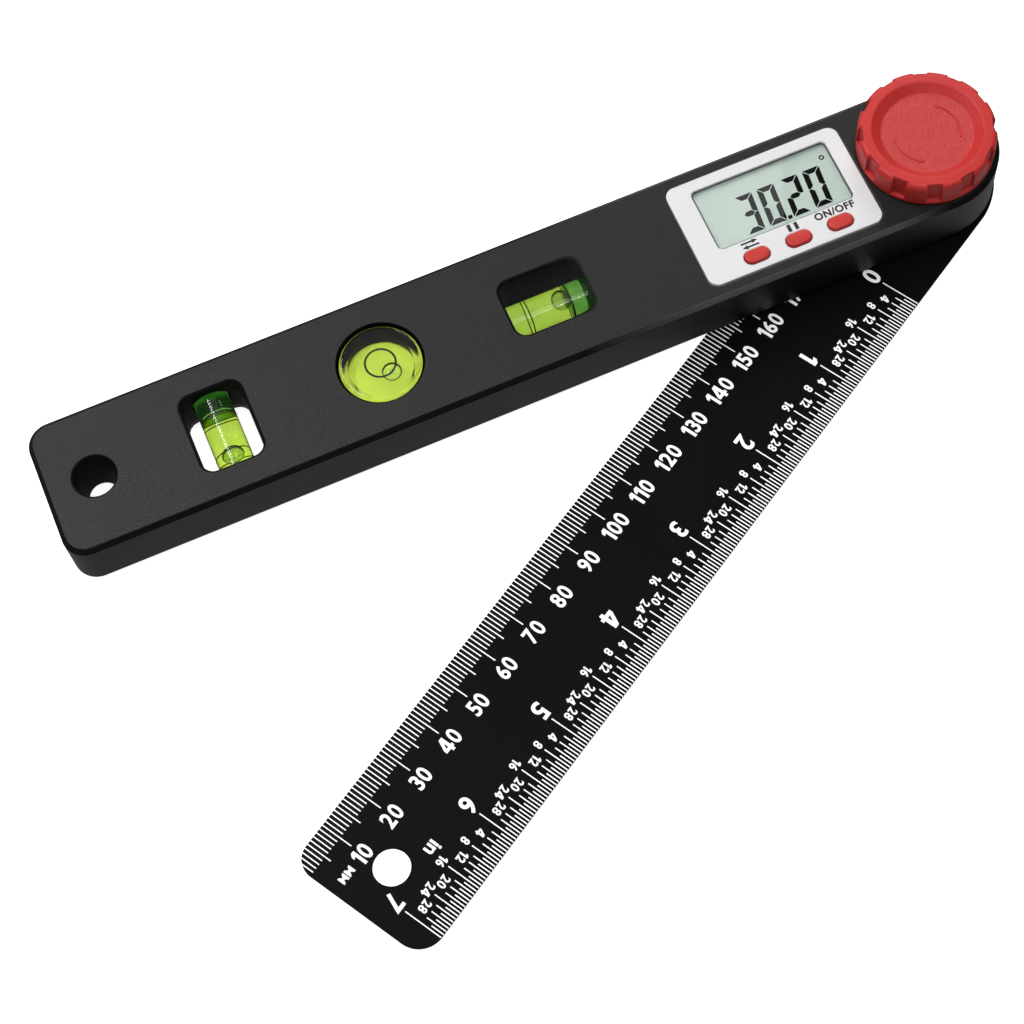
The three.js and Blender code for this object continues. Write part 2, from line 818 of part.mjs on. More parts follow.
function batteryLid() {
  const ringOuter = cellRadius + runClearance + lidRingThickness;
  const lugBottom = coverTop + runClearance;
  const lugInner = cellRadius + 2 * runClearance;
  const lug = sector(lugInner, lidRadius + lugReach, lugHalfAngle, lugBottom, lugBottom + lugThickness);
  const body = join([
    disc(lidRadius, beamBottom, coverTop),
    ring(cellRadius + runClearance, ringOuter, coverTop - coverThickness / 2, coverTop + lidRingHeight),
    ...around(lugCount, 0, lug),
  ]);
  return body.subtract(box(coinSlotLength, coinSlotWidth, beamBottom - overrun, beamBottom + coinSlotDepth));
}

// Pivot pieces

const washerBottom = bladeThickness + runClearance;
const bushTop = coverTop + bushFlangeThickness + bushRise;
const ringBottom = bushTop + runClearance;
const rotorTop = boardBottom - rotorAirGap;
const shaftShoulder = beamTop - seatClearance;
const insertBottom = beamTop + runClearance + seatClearance;
const knobBottom = beamTop + runClearance;
const knobFloor = beamTop + knobHeight - dishDepth;
const insertSeatTop = knobFloor - insertSkin;

function pivotBush() {
  const outer = shaftBoreRadius + bushWall;
  const flangeTop = coverTop + bushFlangeThickness;
  return turned([
    [shaftBoreRadius, beamBottom],
    [outer, beamBottom],
    [outer, coverTop],
    [bushFlangeRadius, coverTop],
    [bushFlangeRadius, flangeTop],
    [outer, flangeTop],
    [outer, bushTop],
    [shaftBoreRadius, bushTop],
    [shaftBoreRadius, beamBottom],
  ]);
}

function pivotShaft() {
  const grooveBottom = ringBottom - (grooveWidth - ringThickness) / 2;
  const body = turned([
    [0, 0],
    [shaftTangRadius, 0],
    [shaftTangRadius, washerBottom],
    [shaftFlangeRadius, washerBottom],
    [shaftFlangeRadius, beamBottom - runClearance],
    [shaftRadius, beamBottom - runClearance],
    [shaftRadius, grooveBottom],
    [grooveRadius, grooveBottom],
    [grooveRadius, grooveBottom + grooveWidth],
    [shaftRadius, grooveBottom + grooveWidth],
    [shaftRadius, shaftShoulder],
    [threadRadius, shaftShoulder],
    [threadRadius, insertBottom + threadEngage],
    [0, insertBottom + threadEngage],
  ]);
  const flat = box(2 * shaftTangRadius, shaftTangRadius, -overrun, washerBottom);
  const flatY = shaftTangFlat + shaftTangRadius / 2;
  return cut(body, [-1, 1].map((side) => at(flat, 0, side * flatY)));
}

function retainingRing() {
  const inner = grooveRadius + runClearance / 2;
  const top = ringBottom + ringThickness;
  const gapLength = ringOuterRadius + overrun;
  const gap = box(gapLength, ringGap, ringBottom - overrun, top + overrun);
  return ring(inner, ringOuterRadius, ringBottom, top).subtract(at(gap, gapLength / 2, 0));
}

function encoderRotor() {
  const bottom = rotorTop - rotorThickness;
  const hubBottom = bottom - rotorHubDepth;
  const body = turned([
    [shaftBoreRadius, hubBottom],
    [rotorHubRadius, hubBottom],
    [rotorHubRadius, bottom],
    [rotorRadius, bottom],
    [rotorRadius, rotorTop],
    [shaftBoreRadius, rotorTop],
    [shaftBoreRadius, hubBottom],
  ]);
  const slotMiddle = (rotorHubRadius + rotorRadius) / 2;
  const slot = at(box(rotorSlotLength, rotorSlotWidth, bottom - overrun, rotorTop + overrun), slotMiddle, 0);
  return cut(body, around(rotorSlotCount, 0, slot));
}

function rulerBlade() {
  const outline = barOutline(bladeReach, bladeWidth / 2, bladeInchCorner, bladeMmCorner);
  const tangHole = disc(shaftTangRadius + runClearance, -overrun, bladeThickness + overrun);
  const flatLength = 2 * (shaftTangRadius + overrun);
  const flat = box(flatLength, shaftTangRadius, -2 * overrun, bladeThickness + 2 * overrun);
  const flatY = shaftTangFlat + runClearance + shaftTangRadius / 2;
  const flats = [-1, 1].map((side) => at(flat, 0, side * flatY));
  return cut(prism(outline, 0, bladeThickness), [
    cut(tangHole, flats),
    at(disc(bladeHoleRadius, -overrun, bladeThickness + overrun), -bladeReach + bladeHoleInset, 0),
  ]);
}

// Lock knob: skirt with grip notches above a flange, rounded shoulder, flat rim and a dished top

function knobProfile() {
  const rimTop = beamTop + knobHeight;
  const shoulderBottom = rimTop - knobShoulder;
  const shoulderSteps = 3;
  const shoulder = Array.from({ length: shoulderSteps + 1 }, (_, i) => {
    const angle = (quarterTurn * i) / shoulderSteps;
    return [
      knobRimRadius + (knobRadius - knobRimRadius) * Math.cos(angle),
      shoulderBottom + knobShoulder * Math.sin(angle),
    ];
  });
  const dish = [[dishRimRadius, rimTop], [dishFloorRadius, knobFloor], [0, knobFloor]];
  return [[0, knobBottom], [knobRadius, knobBottom], ...shoulder, ...dish];
}

function knobHollow() {
  const top = knobFloor - knobPocketTop;
  const hollow = ring(knobBossRadius, knobRadius - knobSkirtWall, knobBottom - overrun, top);
  const rib = box(knobRadius, knobRibThickness, knobBottom - 2 * overrun, top + overrun);
  return cut(hollow, around(knobRibCount, notchPhase, at(rib, knobRadius / 2, 0)));
}

function knob() {
  const innerRadius = knobRadius - notchDepth;
  const notch = at(
    box(2 * notchDepth, notchWidth, knobBottom + knobSkirtFlange, beamTop + knobHeight + overrun),
    innerRadius * Math.cos(notchAngle) + notchDepth,
    0,
  );
  return cut(turned(knobProfile()), [
    ...around(notchCount, notchPhase, notch),
    knobHollow(),
    disc(insertRadius + seatClearance, knobBottom - overrun, insertSeatTop),
  ]);
}

function knobInsert() {
  const top = insertSeatTop - seatClearance;
  const body = ring(threadRadius + runClearance, insertRadius, insertBottom, top);
  const knurl = box(2 * insertKnurlDepth, insertKnurlDepth, insertBottom + overrun, top - overrun);
  return cut(body, around(insertKnurls, 0, at(knurl, insertRadius, 0)));
}

piece('front_shell', frontShell(), 'blackMould');
piece('rear_cover', rearCover(), 'blackMould');
screwPlaces.forEach((place, i) => {
  const body = screw(screwShank, screwHead, screwHeadHeight, screwLength, beamBottom + screwSunk);
  piece(`cover_screw_${i + 1}`, body, 'steel', place);
});

piece('cross_vial_tube', vialTube(), 'clear', [crossWindowX, 0]).rotation.z = quarterTurn;
piece('cross_vial_plug', vialPlug(), 'greenPlug', [crossWindowX, 0]).rotation.z = quarterTurn;
piece('long_vial_tube', vialTube(), 'clear', [longWindowX, 0]);
piece('long_vial_plug', vialPlug(), 'greenPlug', [longWindowX, 0]);
piece('round_vial_lens', roundVialLens(), 'clear', [roundVialX, 0]);
piece('round_vial_base', roundVialBase(), 'paleMould', [roundVialX, 0]);

piece('display_bezel', bezel(), 'silverMould');
piece('display_lens', lens(), 'clear', viewPlace);
piece('lcd_panel', lcdPanel(), 'lcdGlass', viewPlace);
piece('lcd_connector', lcdConnector(), 'greyRubber', viewPlace);
const buttonNames = ['mode_button', 'hold_button', 'power_button'];
buttonPlaces.forEach((place, i) => piece(buttonNames[i], button(), 'redMould', place));
piece('keypad_mat', keypadMat(), 'greyRubber', [buttonMidX, buttonY]);

piece('circuit_board', circuitBoard(), 'board');
boardPosts.forEach((place, i) => {
  const bottom = boardBottom - boardScrewHeadHeight;
  const length = boardScrewHeadHeight + boardThickness + boardScrewBite;
  const body = screw(boardScrewShank, boardScrewHead, boardScrewHeadHeight, length, bottom);
  piece(`board_screw_${i + 1}`, body, 'steel', place);
});
piece('coin_cell', coinCell(), 'steel', [cellX, 0]);
piece('leaf_contact', leafContact(), 'steel', [cellX, 0]);
piece('side_contact', sideContact(), 'steel', [cellX, 0]);
piece('battery_lid', batteryLid(), 'blackMould', [cellX, 0]);

piece('pivot_bush', pivotBush(), 'brass');
const thrustWasher = ring(shaftFlangeRadius + runClearance, thrustOuterRadius, washerBottom, beamBottom);
piece('thrust_washer', thrustWasher, 'nylon');
const frictionWasher = ring(shaftBoreRadius, frictionOuterRadius, beamTop - frictionThickness, beamTop);
piece('friction_washer', frictionWasher, 'nylon');

piece('ruler_blade', rulerBlade(), 'blackPlate', onPivot, bladeGroup);
piece('pivot_shaft', pivotShaft(), 'steel', onPivot, bladeGroup);
piece('retaining_ring', retainingRing(), 'steel', onPivot, bladeGroup);
piece('encoder_rotor', encoderRotor(), 'board', onPivot, bladeGroup);
piece('lock_knob', knob(), 'redMould');
piece('knob_insert', knobInsert(), 'brass');

export default part;
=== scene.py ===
import math

import bmesh
import bpy
from mathutils import Matrix, Vector


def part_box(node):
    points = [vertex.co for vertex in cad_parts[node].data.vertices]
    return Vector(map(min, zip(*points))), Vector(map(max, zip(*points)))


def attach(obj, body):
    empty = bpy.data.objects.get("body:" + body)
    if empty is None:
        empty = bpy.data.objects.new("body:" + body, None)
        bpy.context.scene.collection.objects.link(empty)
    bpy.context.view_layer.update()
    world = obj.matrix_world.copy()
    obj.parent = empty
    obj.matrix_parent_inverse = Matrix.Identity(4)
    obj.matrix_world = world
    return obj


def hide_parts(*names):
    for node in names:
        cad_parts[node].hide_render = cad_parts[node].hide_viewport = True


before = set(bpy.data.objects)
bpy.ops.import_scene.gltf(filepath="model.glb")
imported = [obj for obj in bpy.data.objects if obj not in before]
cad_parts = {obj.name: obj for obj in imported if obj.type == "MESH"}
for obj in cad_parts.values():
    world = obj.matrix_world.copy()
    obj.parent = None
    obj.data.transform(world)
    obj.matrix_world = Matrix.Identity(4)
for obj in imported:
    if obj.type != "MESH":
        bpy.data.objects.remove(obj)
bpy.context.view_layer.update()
unit = 0.001  # every length below is in millimetres, and this is one of them in metres
quarter = math.pi / 2
overrun = 1.0  # of a cutting tool past what it cuts
hair = 0.02  # between surfaces that all but touch
print("frame loaded")


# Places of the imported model, in millimetres

def boxOf(node):
    low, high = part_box(node)
    return low / unit, high / unit


def middleOf(node):
    low, high = boxOf(node)
    return (low + high) / 2


shellLow, shellHigh = boxOf("front_shell")
coverBottom = boxOf("rear_cover")[0].z
faceHeight = shellHigh.z
beamHalf = shellHigh.y
beamReach = -shellLow.x
bladeTop = boxOf("ruler_blade")[1].z


# Meshes from outlines

def linked(name, data):
    thing = bpy.data.objects.new(name, data)
    bpy.context.collection.objects.link(thing)
    return thing


def newObject(name, verts, faces):
    mesh = bpy.data.meshes.new(name)
    mesh.from_pydata([[c * unit for c in v] for v in verts], [], faces)
    bm = bmesh.new()
    bm.from_mesh(mesh)
    bmesh.ops.recalc_face_normals(bm, faces=bm.faces)
    bm.to_mesh(mesh)
    bm.free()
    return linked(name, mesh)


def arcPoints(x, y, radius, start, end, steps):
    turns = [start + (end - start) * i / steps for i in range(steps + 1)]
    return [(x + radius * math.cos(t), y + radius * math.sin(t)) for t in turns]


def roundedPoints(length, width, corner, steps=8, x=0.0, y=0.0):
    a = length / 2 - corner
    b = width / 2 - corner
    corners = [(a, -b), (a, b), (-a, b), (-a, -b)]
    points = []
    for i, (cx, cy) in enumerate(corners):
        points += arcPoints(x + cx, y + cy, corner, (i - 1) * quarter, i * quarter, steps)
    return points


# A bar, round about the pivot at one end, with two rounded corners at its reach
def barPoints(reach, half, lowCorner, highCorner, steps=12):
    points = arcPoints(0, 0, half, -quarter, quarter, 6 * steps)
    points += arcPoints(highCorner - reach, half - highCorner, highCorner, quarter, 2 * quarter, steps)
    points += arcPoints(lowCorner - reach, lowCorner - half, lowCorner, 2 * quarter, 3 * quarter, steps)
    return points


# Closed body through rings of points, each at its height
def stacked(name, rings):
    count = len(rings[0][0])
    verts = [(x, y, z) for points, z in rings for x, y in points]
    faces = [list(range(count))]
    for level in range(len(rings) - 1):
        a = level * count
        b = a + count
        faces += [[a + i, a + (i + 1) % count, b + (i + 1) % count, b + i] for i in range(count)]
    faces.append([(len(rings) - 1) * count + i for i in range(count)])
    return newObject(name, verts, faces)


def plate(name, points, bottom, top):
    return stacked(name, [(points, bottom), (points, top)])


# Revolved about +Z from radius and height pairs; a profile that ends where it starts makes a ring
def turned(name, profile, steps=96, x=0.0, y=0.0):
    closed = profile[0] == profile[-1]
    points = profile[:-1] if closed else profile
    verts = []
    rows = []
    for radius, height in points:
        start = len(verts)
        if radius == 0:
            verts.append((x, y, height))
            rows.append([start] * steps)
            continue
        verts += [(x + px, y + py, height) for px, py in arcPoints(0, 0, radius, 0, 4 * quarter, steps)[:-1]]
        rows.append(list(range(start, start + steps)))
    faces = []
    for low, high in zip(rows, rows[1:] + (rows[:1] if closed else [])):
        for i in range(steps):
            j = (i + 1) % steps
            face = list(dict.fromkeys([low[i], low[j], high[j], high[i]]))
            if len(face) > 2:
                faces.append(face)
    return newObject(name, verts, faces)


# A disc or a rod about +Z
def disc(name, radius, bottom, top, x=0.0, y=0.0, steps=96):
    return turned(name, [(0, bottom), (radius, bottom), (radius, top), (0, top)], steps, x, y)


# The move to a place with the three axes along the given directions
def moveTo(place, *axes):
    return Matrix.Translation(Vector(place) * unit) @ Matrix(axes).transposed().to_4x4()


# Lays a revolved body along the given direction from the given place, its own Y upwards
def laid(body, place, direction):
    up = Vector((0, 0, 1))
    body.data.transform(moveTo(place, up.cross(direction), up, direction))
    return body


# A hollow in clear material is a body whose faces look inwards
def turnedIn(body):
    body.data.flip_normals()
    return body


def settle(body):
    graph = bpy.context.evaluated_depsgraph_get()
    made = bpy.data.meshes.new_from_object(body.evaluated_get(graph))
    old = body.data
    body.modifiers.clear()
    body.data = made
    made.name = body.name
    bpy.data.meshes.remove(old)


def carve(body, tools):
    holder = bpy.data.collections.new("tools")
    bpy.context.scene.collection.children.link(holder)
    for tool in tools:
        bpy.context.collection.objects.unlink(tool)
        holder.objects.link(tool)
    cut = body.modifiers.new("cut", "BOOLEAN")
    cut.operation = "DIFFERENCE"
    cut.solver = "EXACT"
    cut.operand_type = "COLLECTION"
    cut.collection = holder
    settle(body)
    for tool in tools:
        bpy.data.objects.remove(tool)
    bpy.data.collections.remove(holder)


def softEdges(body, width, segments=3, angle=31):
    body.data.shade_smooth()
    bevel = body.modifiers.new("soft edges", "BEVEL")
    bevel.width = width * unit
    bevel.segments = segments
    bevel.limit_method = "ANGLE"
    bevel.angle_limit = math.radians(angle)
    bevel.harden_normals = True
    bevel.use_clamp_overlap = False
    settle(body)


def smooth(body, angle=40):
    body.data.shade_smooth()
    body.data.set_sharp_from_angle(angle=math.radians(angle))
    return body


def merged(name, bodies):
    bm = bmesh.new()
    for body in bodies:
        bm.from_mesh(body.data)
    mesh = bpy.data.meshes.new(name)
    bm.to_mesh(mesh)
    bm.free()
    for body in bodies:
        bpy.data.objects.remove(body)
    return linked(name, mesh)


# Materials. Every length in them is a feature's size in millimetres.

midNoise = (0.3, 0.7)  # most of a noise lies between these
speckNoise = (0.62, 0.78)  # and its specks between these
hazeFineness = 3  # waves of haze to one of a clear body's own


def newMaterial(name):
    material = bpy.data.materials.new(name)
    material.use_nodes = True
    tree = material.node_tree
    shader = tree.nodes["Principled BSDF"]
    place = tree.nodes.new("ShaderNodeTexCoord").outputs["Object"]
    return material, tree, shader, place


def setInputs(node, values):
    for key, value in values.items():
        node.inputs[key].default_value = value


def noiseNode(tree, place, size, detail=3.0):
    noise = tree.nodes.new("ShaderNodeTexNoise")
    setInputs(noise, {"Scale": 1 / (size * unit), "Detail": detail, "Roughness": 0.55})
    tree.links.new(place, noise.inputs["Vector"])
    return noise.outputs["Fac"]


def rangeNode(tree, value, low, high, toLow, toHigh):
    span = tree.nodes.new("ShaderNodeMapRange")
    setInputs(span, {"From Min": low, "From Max": high, "To Min": toLow, "To Max": toHigh})
    tree.links.new(value, span.inputs["Value"])
    return span.outputs["Result"]


def mixNode(tree, factor, first, second):
    mix = tree.nodes.new("ShaderNodeMix")
    mix.data_type = "RGBA"
    tree.links.new(factor, mix.inputs["Factor"])
    for key, color in (("A", first), ("B", second)):
        socket = [s for s in mix.inputs if s.name == key and s.type == "RGBA"][0]
        if isinstance(color, bpy.types.NodeSocket):
            tree.links.new(color, socket)
        else:
            socket.default_value = (*color, 1)
    return [s for s in mix.outputs if s.type == "RGBA"][0]


def bumpNode(tree, shader, height, depth, strength=1.0):
    bump = tree.nodes.new("ShaderNodeBump")
    setInputs(bump, {"Distance": depth * unit, "Strength": strength})
    tree.links.new(height, bump.inputs["Height"])
    tree.links.new(bump.outputs["Normal"], shader.inputs["Normal"])


# Zero at the first and the fourth of four places along the beam, and one between the other two: the mask of a
# band of painted highlight
def fadeNode(tree, place, stops):
    parts = tree.nodes.new("ShaderNodeSeparateXYZ")
    tree.links.new(place, parts.inputs["Vector"])
    rise, level, fall, end = [stop * unit for stop in stops]
    both = tree.nodes.new("ShaderNodeMath")
    both.operation = "MULTIPLY"
    tree.links.new(rangeNode(tree, parts.outputs["X"], rise, level, 0.0, 1.0), both.inputs[0])
    tree.links.new(rangeNode(tree, parts.outputs["X"], fall, end, 1.0, 0.0), both.inputs[1])
    return both.outputs[0]


def roughen(tree, shader, noise, look):
    tree.links.new(rangeNode(tree, noise, *midNoise, *look["rough"]), shader.inputs["Roughness"])


def glow(shader, look):
    color = look.get("glowColor", look["color"])
    setInputs(shader, {"Emission Color": (*color, 1), "Emission Strength": look.get("glow", 0.0)})


# One surface: broad and fine changes of colour, uneven roughness and a moulded or rolled grain
def surface(name, look):
    material, tree, shader, place = newMaterial(name)
    grain = noiseNode(tree, place, look["grain"])
    broad = noiseNode(tree, place, look["patch"], detail=4.0)
    blotch = rangeNode(tree, broad, *midNoise, 0.0, 1.0)
    color = mixNode(tree, blotch, look["color"], look["second"])
    speck = rangeNode(tree, grain, *speckNoise, 0.0, look.get("speck", 0.25))
    color = mixNode(tree, speck, color, look.get("speckColor", look["second"]))
    # A band of painted highlight along the beam, mixed over the colour
    if "fade" in look:
        color = mixNode(tree, fadeNode(tree, place, look["fade"]), color, look["fadeColor"])
    tree.links.new(color, shader.inputs["Base Color"])
    roughen(tree, shader, broad, look)
    bumpNode(tree, shader, grain, look["depth"])
    setInputs(shader, {"Specular IOR Level": look.get("gloss", 0.5)})
    setInputs(shader, {"Coat Weight": look.get("coat", 0.0), "Coat Roughness": 0.1})
    glow(shader, look)
    return material


# Clear or tinted body, some with faint waviness from moulding
def clearSurface(name, look):
    material, tree, shader, place = newMaterial(name)
    wave = noiseNode(tree, place, look["wave"], detail=1.0)
    if "depth" in look:
        bumpNode(tree, shader, wave, look["depth"], strength=0.5)
    haze = noiseNode(tree, place, look["wave"] / hazeFineness, detail=2.0)
    roughen(tree, shader, haze, look)
    tint = mixNode(tree, rangeNode(tree, wave, *midNoise, 0.0, 1.0), look["color"], look["second"])
    tree.links.new(tint, shader.inputs["Base Color"])
    setInputs(shader, {"Transmission Weight": 1.0, "IOR": look["index"]})
    glow(shader, look)
    return material


def brushed(name, look):
    material, tree, shader, place = newMaterial(name)
    stretch = tree.nodes.new("ShaderNodeMapping")
    setInputs(stretch, {"Scale": look["stretch"]})
    tree.links.new(place, stretch.inputs["Vector"])
    lines = noiseNode(tree, stretch.outputs["Vector"], look["grain"], detail=2.0)
    tree.links.new(mixNode(tree, lines, look["color"], look["second"]), shader.inputs["Base Color"])
    roughen(tree, shader, lines, look)
    bumpNode(tree, shader, lines, look["depth"])
    setInputs(shader, {"Metallic": 1.0})
    return material


shellBlack = dict(
    color=(0.0042, 0.0042, 0.0044), second=(0.0058, 0.0058, 0.006), grain=0.34, patch=34,
)
plastics = {
    "shell": dict(
        **shellBlack, speck=0.8, speckColor=(0.026, 0.026, 0.0265), rough=(0.38, 0.46), depth=0.12,
        gloss=0.27,
    ),
    "shellSide": dict(
        **shellBlack, speck=0.6, speckColor=(0.018, 0.018, 0.0185), rough=(0.43, 0.49), depth=0.04,
        gloss=0.32,
    ),
    # Chamfers and inner walls: a darker copy of the shell as painted shade, and a band of painted highlight
    # between 90 and 2 mm from the pivot
    "shellEdge": dict(
        color=(0.0035, 0.0035, 0.0036), second=(0.0048, 0.0048, 0.005), speck=0.3,
        speckColor=(0.01, 0.01, 0.01), grain=0.32, patch=20, rough=(0.55, 0.62), depth=0.02,
        gloss=0.1, fade=(-90, -62, -14, -2), fadeColor=(0.068, 0.07, 0.07),
    ),
    "cover": dict(
        color=(0.0075, 0.0075, 0.0078), second=(0.011, 0.011, 0.0113), speck=0.4,
        speckColor=(0.03, 0.03, 0.03), grain=0.4, patch=26, rough=(0.46, 0.58), depth=0.03, gloss=0.35,
    ),
    "blade": dict(
        color=(0.0024, 0.0024, 0.0025), second=(0.0033, 0.0033, 0.0034), speck=0.3,
        speckColor=(0.012, 0.012, 0.012), grain=0.22, patch=40, rough=(0.42, 0.52), depth=0.008,
        gloss=0.045,
    ),
    # The print's glow is painted light that keeps it white where the beam shades the blade
    "print": dict(
        color=(0.9, 0.9, 0.9), second=(0.86, 0.86, 0.86), speck=0.3, speckColor=(0.72, 0.72, 0.72),
        grain=0.16, patch=12, rough=(0.5, 0.6), depth=0.004, gloss=0.3, glow=0.2,
        glowColor=(1, 1, 1),
    ),
    "bezel": dict(
        color=(0.71, 0.71, 0.715), second=(0.68, 0.68, 0.69), speck=0.5, speckColor=(0.82, 0.82, 0.83),
        grain=0.12, patch=14, rough=(0.34, 0.42), depth=0.004, gloss=0.4,
    ),
    "bezelPrint": dict(
        color=(0.012, 0.012, 0.013), second=(0.02, 0.02, 0.022), grain=0.1, patch=5, rough=(0.45, 0.55),
        depth=0.002, gloss=0.3,
    ),
    "red": dict(
        color=(0.49, 0.028, 0.026), second=(0.54, 0.036, 0.033), speck=0.6, speckColor=(0.68, 0.1, 0.095),
        grain=0.26, patch=12, rough=(0.36, 0.44), depth=0.03, gloss=0.25,
    ),
    "redGrain": dict(
        color=(0.46, 0.03, 0.028), second=(0.52, 0.04, 0.037), speck=0.8, speckColor=(0.66, 0.1, 0.095),
        grain=0.5, patch=1.6, rough=(0.4, 0.5), depth=0.22, gloss=0.35,
    ),
    "button": dict(
        color=(0.48, 0.026, 0.019), second=(0.53, 0.034, 0.024), grain=0.2, patch=4, rough=(0.34, 0.42),
        depth=0.006, gloss=0.4,
    ),
    # The panel's glow is painted light
    "panel": dict(
        color=(0.68, 0.79, 0.73), second=(0.7, 0.81, 0.75), speck=0.2, grain=0.12, patch=16,
        rough=(0.4, 0.46), depth=0.002, gloss=0.1, glow=0.08, glowColor=(0.9, 1, 0.94),
    ),
    "segment": dict(
        color=(0.001, 0.0012, 0.0012), second=(0.002, 0.0022, 0.0022), grain=0.1, patch=4,
        rough=(0.55, 0.65), depth=0.002, gloss=0,
    ),
    "mark": dict(
        color=(0.006, 0.01, 0.006), second=(0.01, 0.014, 0.01), grain=0.2, patch=2, rough=(0.4, 0.5),
        depth=0.002, gloss=0.2,
    ),
    # The pale moulding under the round vial glows: painted light standing in for light from behind the vial
    "paleMould": dict(
        color=(0.56, 0.72, 0.1), second=(0.5, 0.67, 0.09), speck=0.2, grain=0.5, patch=5,
        rough=(0.4, 0.5), depth=0.004, gloss=0.3, glow=0.42, glowColor=(0.68, 0.82, 0.085),
    ),
    "darkSide": dict(
        color=(0.004, 0.008, 0.005), second=(0.01, 0.017, 0.01), grain=0.4, patch=4,
        rough=(0.85, 0.95), depth=0.004, gloss=0,
    ),
    "board": dict(
        color=(0.012, 0.085, 0.035), second=(0.016, 0.11, 0.045), speck=0.5, speckColor=(0.05, 0.2, 0.09),
        grain=0.5, patch=8, rough=(0.34, 0.44), depth=0.01, coat=0.3,
    ),
    "rubber": dict(
        color=(0.09, 0.095, 0.1), second=(0.12, 0.125, 0.13), grain=0.25, patch=6, rough=(0.75, 0.88),
        depth=0.02,
    ),
    "nylon": dict(
        color=(0.74, 0.72, 0.66), second=(0.8, 0.78, 0.72), grain=0.4, patch=6, rough=(0.42, 0.52),
        depth=0.01,
    ),
}
# Clear bodies lie one in another, so each index is that of the body by the one round it
liquid = dict(rough=(0, 0.01), index=1.02)
air = dict(wave=2, depth=0.002, rough=(0, 0.01), index=1.33)
clears = {
    "clear": dict(
        color=(0.955, 0.985, 0.93), second=(0.93, 0.975, 0.9), wave=7, rough=(0.06, 0.1), index=1.36,
    ),
    # Both liquids glow a little, painted light; the long vial's liquid is a darker copy of the cross vial's,
    # painted shade
    "crossLiquid": dict(
        **liquid, color=(0.45, 0.58, 0.075), second=(0.52, 0.66, 0.1), wave=3, glow=0.06,
        glowColor=(0.32, 0.52, 0.03),
    ),
    "shadedLongLiquid": dict(
        **liquid, color=(0.3, 0.43, 0.055), second=(0.36, 0.49, 0.075), wave=3, glow=0.05,
        glowColor=(0.3, 0.5, 0.03),
    ),
    "roundLiquid": dict(**liquid, color=(0.93, 0.97, 0.8), second=(0.96, 0.98, 0.85), wave=4),
    # The tube vials' air bubble is tinted a darker grey-green: painted shade
    "bubble": dict(**air, color=(0.56, 0.66, 0.46), second=(0.66, 0.74, 0.54)),
    "roundBubble": dict(**air, color=(0.93, 0.97, 0.84), second=(0.88, 0.94, 0.78)),
    # The plug's glow is painted light
    "plug": dict(
        color=(0.075, 0.21, 0.035), second=(0.13, 0.3, 0.05), wave=2, rough=(0, 0.02), index=1.02,
        glow=0.035, glowColor=(0.16, 0.5, 0.12),
    ),
    "window": dict(
        color=(0.985, 0.995, 0.985), second=(0.97, 0.985, 0.97), wave=14, depth=0.001, rough=(0, 0.01),
        index=1.5,
    ),
}
metals = {
    "steel": dict(
        color=(0.46, 0.46, 0.47), second=(0.62, 0.62, 0.63), stretch=(1, 1, 6), grain=0.4,
        rough=(0.24, 0.36), depth=0.004,
    ),
    "brass": dict(
        color=(0.62, 0.43, 0.14), second=(0.75, 0.54, 0.2), stretch=(1, 1, 8), grain=0.3,
        rough=(0.22, 0.34), depth=0.004,
    ),
}
materials = {}
for make, looks in ((surface, plastics), (clearSurface, clears), (brushed, metals)):
    materials.update({name: make(name, look) for name, look in looks.items()})
print("materials made")


# Every face has the first of the named looks until its index says another
def paint(body, looks):
    body.data.materials.clear()
    for look in looks.split():
        body.data.materials.append(materials[look])


def dress(body, looks, rider="beam", stands=()):
    paint(body, looks)
    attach(body, rider)
    if stands:
        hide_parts(*stands)


# Camera, at the height and roll that the blade's printed scale gives

camera = dict(
    place=(-170.98, -239.85, 474.25), forward=(0.10312, 0.38946, -0.91525),
    up=(0.37501, 0.83703, 0.39843), focal=83.0, sensor=36.0, range=(10.0, 20000.0),
)


def makeCamera():
    data = bpy.data.cameras.new("camera")
    data.lens, data.sensor_width = camera["focal"], camera["sensor"]
    data.clip_start, data.clip_end = [distance * unit for distance in camera["range"]]
    eye = linked("camera", data)
    back = -Vector(camera["forward"]).normalized()
    right = Vector(camera["up"]).cross(back).normalized()
    up = back.cross(right)
    eye.matrix_world = moveTo(camera["place"], right, up, back)
    bpy.context.scene.camera = eye


makeCamera()


# Floor and studio light

studio = dict(
    floorSize=6000.0,
    floorDrop=0.05,  # below the blade
    lightAbove=0.09, lightBelow=0.40,
    horizon=(-0.3, 0.1),  # the light changes between these heights of the sky
)
floorLook = dict(
    color=(0.80, 0.80, 0.80), second=(0.795, 0.795, 0.795), speck=0.0, grain=2.0,
    patch=400.0, rough=(0.6, 0.7), depth=0.004, gloss=0.2, glow=0.88, glowColor=(1, 1, 1),
)
# A light with a roll faces straight down
softboxes = {
    "key": dict(place=(-500, 500, 930), roll=0.0, size=(300, 900), power=9.8),
    "top": dict(place=(-40, -260, 1000), aim=(-60, 0, 0), size=(700, 560), power=3.8),
    "strip": dict(place=(55, -380, 925), aim=(-93, -2, 13), size=(300, 26), power=0.5),
    "card": dict(place=(-36, 425, 635), roll=-23.6, size=(420, 620), power=0.50),
    "back": dict(place=(300, 520, 420), aim=(-40, 0, 10), size=(340, 260), power=1.6),
}


